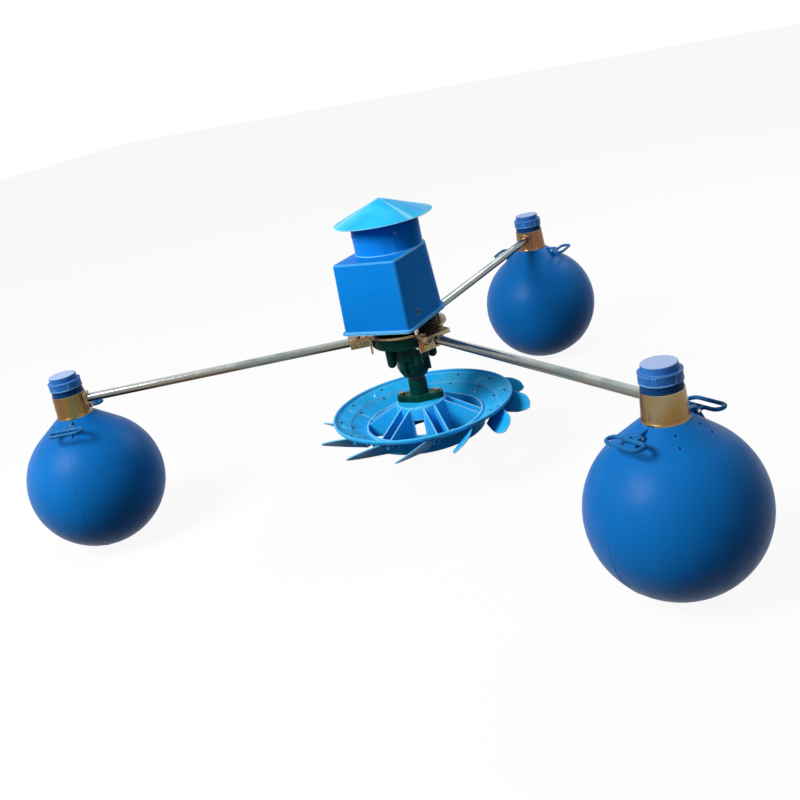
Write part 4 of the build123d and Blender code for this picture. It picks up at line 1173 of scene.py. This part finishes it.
@dataclass
class Studio:
    """Pale floor, surrounding light and softboxes.

    Attributes:
        around: Colour of the surrounding light on the machine.
        floor_matt: Colour that the floor throws back at the machine.
        floor_shaded: Colour of the seen floor where it takes light and shadow.
        floor_white: Share of plain white in the seen floor.
    """

    around: Colour = (0.9, 0.95, 1.0)
    around_strength: float = 0.22
    floor_height: float = -0.2412
    floor_size: float = 30.0
    floor_matt: Colour = (0.03, 0.03, 0.034)
    floor_shaded: Colour = (0.9, 0.9, 0.9)
    floor_white: float = 0.92
    boxes: tuple[Softbox, ...] = (
        Softbox("key", (-1.7, -3.5, 3.6), (0.1, -0.1, 0.0), (2.0, 2.0), 275.0),
        Softbox("back", (1.2, 3.6, 2.8), (0.0, 0.2, 0.1), (2.4, 1.6), 55.0),
    )

    def build(self) -> None:
        """Builds the whole stage."""
        self._surround()
        self._floor()
        for box in self.boxes:
            box.build()

    @staticmethod
    def _background_rays(tree: bpy.types.NodeTree) -> Any:
        """Adds a mask of the rays that show the background: camera, glossy and transmission.

        Args:
            tree: Node tree to add to.

        Returns:
            The mask value socket.
        """
        path = tree.nodes.new("ShaderNodeLightPath")
        total = path.outputs["Is Camera Ray"]
        for kind in ("Is Glossy Ray", "Is Transmission Ray"):
            add = tree.nodes.new("ShaderNodeMath")
            add.operation = "MAXIMUM"
            tree.links.new(total, add.inputs[0])
            tree.links.new(path.outputs[kind], add.inputs[1])
            total = add.outputs["Value"]
        return total

    def _surround(self) -> None:
        """White backdrop for what shows, and softer light for what it lights."""
        world = bpy.data.worlds.new("studio")
        bpy.context.scene.world = world
        world.use_nodes = True
        tree = world.node_tree
        tree.nodes.clear()
        output = tree.nodes.new("ShaderNodeOutputWorld")
        chooser = tree.nodes.new("ShaderNodeMixShader")
        light = tree.nodes.new("ShaderNodeBackground")
        light.inputs["Color"].default_value = rgba(self.around)
        light.inputs["Strength"].default_value = self.around_strength
        seen = tree.nodes.new("ShaderNodeBackground")
        seen.inputs["Color"].default_value = rgba(WHITE)
        seen.inputs["Strength"].default_value = 1.0
        tree.links.new(self._background_rays(tree), chooser.inputs["Fac"])
        tree.links.new(light.outputs["Background"], chooser.inputs[1])
        tree.links.new(seen.outputs["Background"], chooser.inputs[2])
        tree.links.new(chooser.outputs["Shader"], output.inputs["Surface"])

    def _floor(self) -> None:
        """Floor that looks white with a trace of shadow and throws little light back up."""
        mesh = bmesh.new()
        bmesh.ops.create_grid(mesh, x_segments=1, y_segments=1, size=self.floor_size / 2)
        bmesh.ops.translate(mesh, verts=mesh.verts, vec=(0.0, 0.0, self.floor_height))
        data = bpy.data.meshes.new("floor")
        mesh.to_mesh(data)
        mesh.free()
        floor = bpy.data.objects.new("floor", data)
        bpy.context.scene.collection.objects.link(floor)
        data.materials.append(self._floor_finish())

    def _floor_finish(self) -> bpy.types.Material:
        """Builds the floor's material: white where it is seen, dark where it lights the machine.

        Returns:
            The material.
        """
        material = bpy.data.materials.new("floor")
        material.use_nodes = True
        tree = material.node_tree
        tree.nodes.clear()
        output = tree.nodes.new("ShaderNodeOutputMaterial")
        chooser = tree.nodes.new("ShaderNodeMixShader")
        matt = tree.nodes.new("ShaderNodeBsdfDiffuse")
        matt.inputs["Color"].default_value = rgba(self.floor_matt)
        shaded = tree.nodes.new("ShaderNodeBsdfDiffuse")
        shaded.inputs["Color"].default_value = rgba(self.floor_shaded)
        white = tree.nodes.new("ShaderNodeEmission")
        white.inputs["Color"].default_value = rgba(WHITE)
        white.inputs["Strength"].default_value = 1.0
        seen = tree.nodes.new("ShaderNodeMixShader")
        seen.inputs["Fac"].default_value = self.floor_white
        tree.links.new(shaded.outputs["BSDF"], seen.inputs[1])
        tree.links.new(white.outputs["Emission"], seen.inputs[2])
        tree.links.new(self._background_rays(tree), chooser.inputs["Fac"])
        tree.links.new(matt.outputs["BSDF"], chooser.inputs[1])
        tree.links.new(seen.outputs["Shader"], chooser.inputs[2])
        tree.links.new(chooser.outputs["Shader"], output.inputs["Surface"])
        return material


@dataclass(frozen=True)
class PhotoCamera:
    """Camera that sees the machine as the photograph does.

    Attributes:
        focal_px: Focal length in pixels of the photograph.
        image_px: Width of the photograph in pixels.
        elevation: Tilt downwards, in degrees.
        roll: Lean of the camera to one side, in degrees.
        offset: Place of the fitted origin from the camera: right, down and ahead.
        turn: Turn of the view about the spin axis, in degrees.
        drop: Height of the fitted origin in the row frame.
        sensor: Width of the sensor in millimetres.
        far: Distance past which nothing is drawn.
    """

    focal_px: float = 1008.4
    image_px: float = 800.0
    elevation: float = 20.18
    roll: float = -12.405
    offset: Point = (0.0681, 0.0228, 2.988)
    turn: float = 32.1
    drop: float = -0.030
    sensor: float = 36.0
    far: float = 100.0

    def build(self) -> None:
        """Adds the camera and makes it the scene's."""
        tilt, lean = math.radians(self.elevation), math.radians(self.roll)
        right = Vector((1.0, 0.0, 0.0))
        ahead = Vector((0.0, math.cos(tilt), -math.sin(tilt)))
        up = Vector((0.0, math.sin(tilt), math.cos(tilt)))
        image_x = right * math.cos(lean) + up * math.sin(lean)
        image_y = up * math.cos(lean) - right * math.sin(lean)
        x, y, z = self.offset
        place = -(image_x * x - image_y * y + ahead * z)
        axes = Matrix((image_x, image_y, -ahead)).transposed().to_4x4()
        spin = Matrix.Rotation(math.radians(self.turn), 4, "Z")
        data = bpy.data.cameras.new("camera")
        data.sensor_width = self.sensor
        data.lens = self.sensor * self.focal_px / self.image_px
        data.clip_end = self.far
        camera = bpy.data.objects.new("camera", data)
        bpy.context.scene.collection.objects.link(camera)
        lowered = Matrix.Translation((0.0, 0.0, self.drop))
        camera.matrix_world = lowered @ spin @ Matrix.Translation(place) @ axes
        bpy.context.scene.camera = camera


@dataclass
class Aerator:
    """The whole machine, with its sub-assemblies."""

    shop: Workshop

    def build(self) -> None:
        """Dresses the CAD nodes and adds every visual piece."""
        self.shop.dress_all()
        for kind in (RoundedCastings, Hood, SweptBlades, Floats):
            LOG.info("building %s", kind.__name__)
            kind(self.shop).build()


def main() -> None:
    """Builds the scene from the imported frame."""
    logging.basicConfig(level=logging.INFO, format="%(name)s: %(message)s")
    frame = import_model()
    Aerator(Workshop(frame)).build()
    Studio().build()
    PhotoCamera().build()
    bpy.context.scene.view_settings.view_transform = "Standard"


if __name__ == "__main__":
    main()
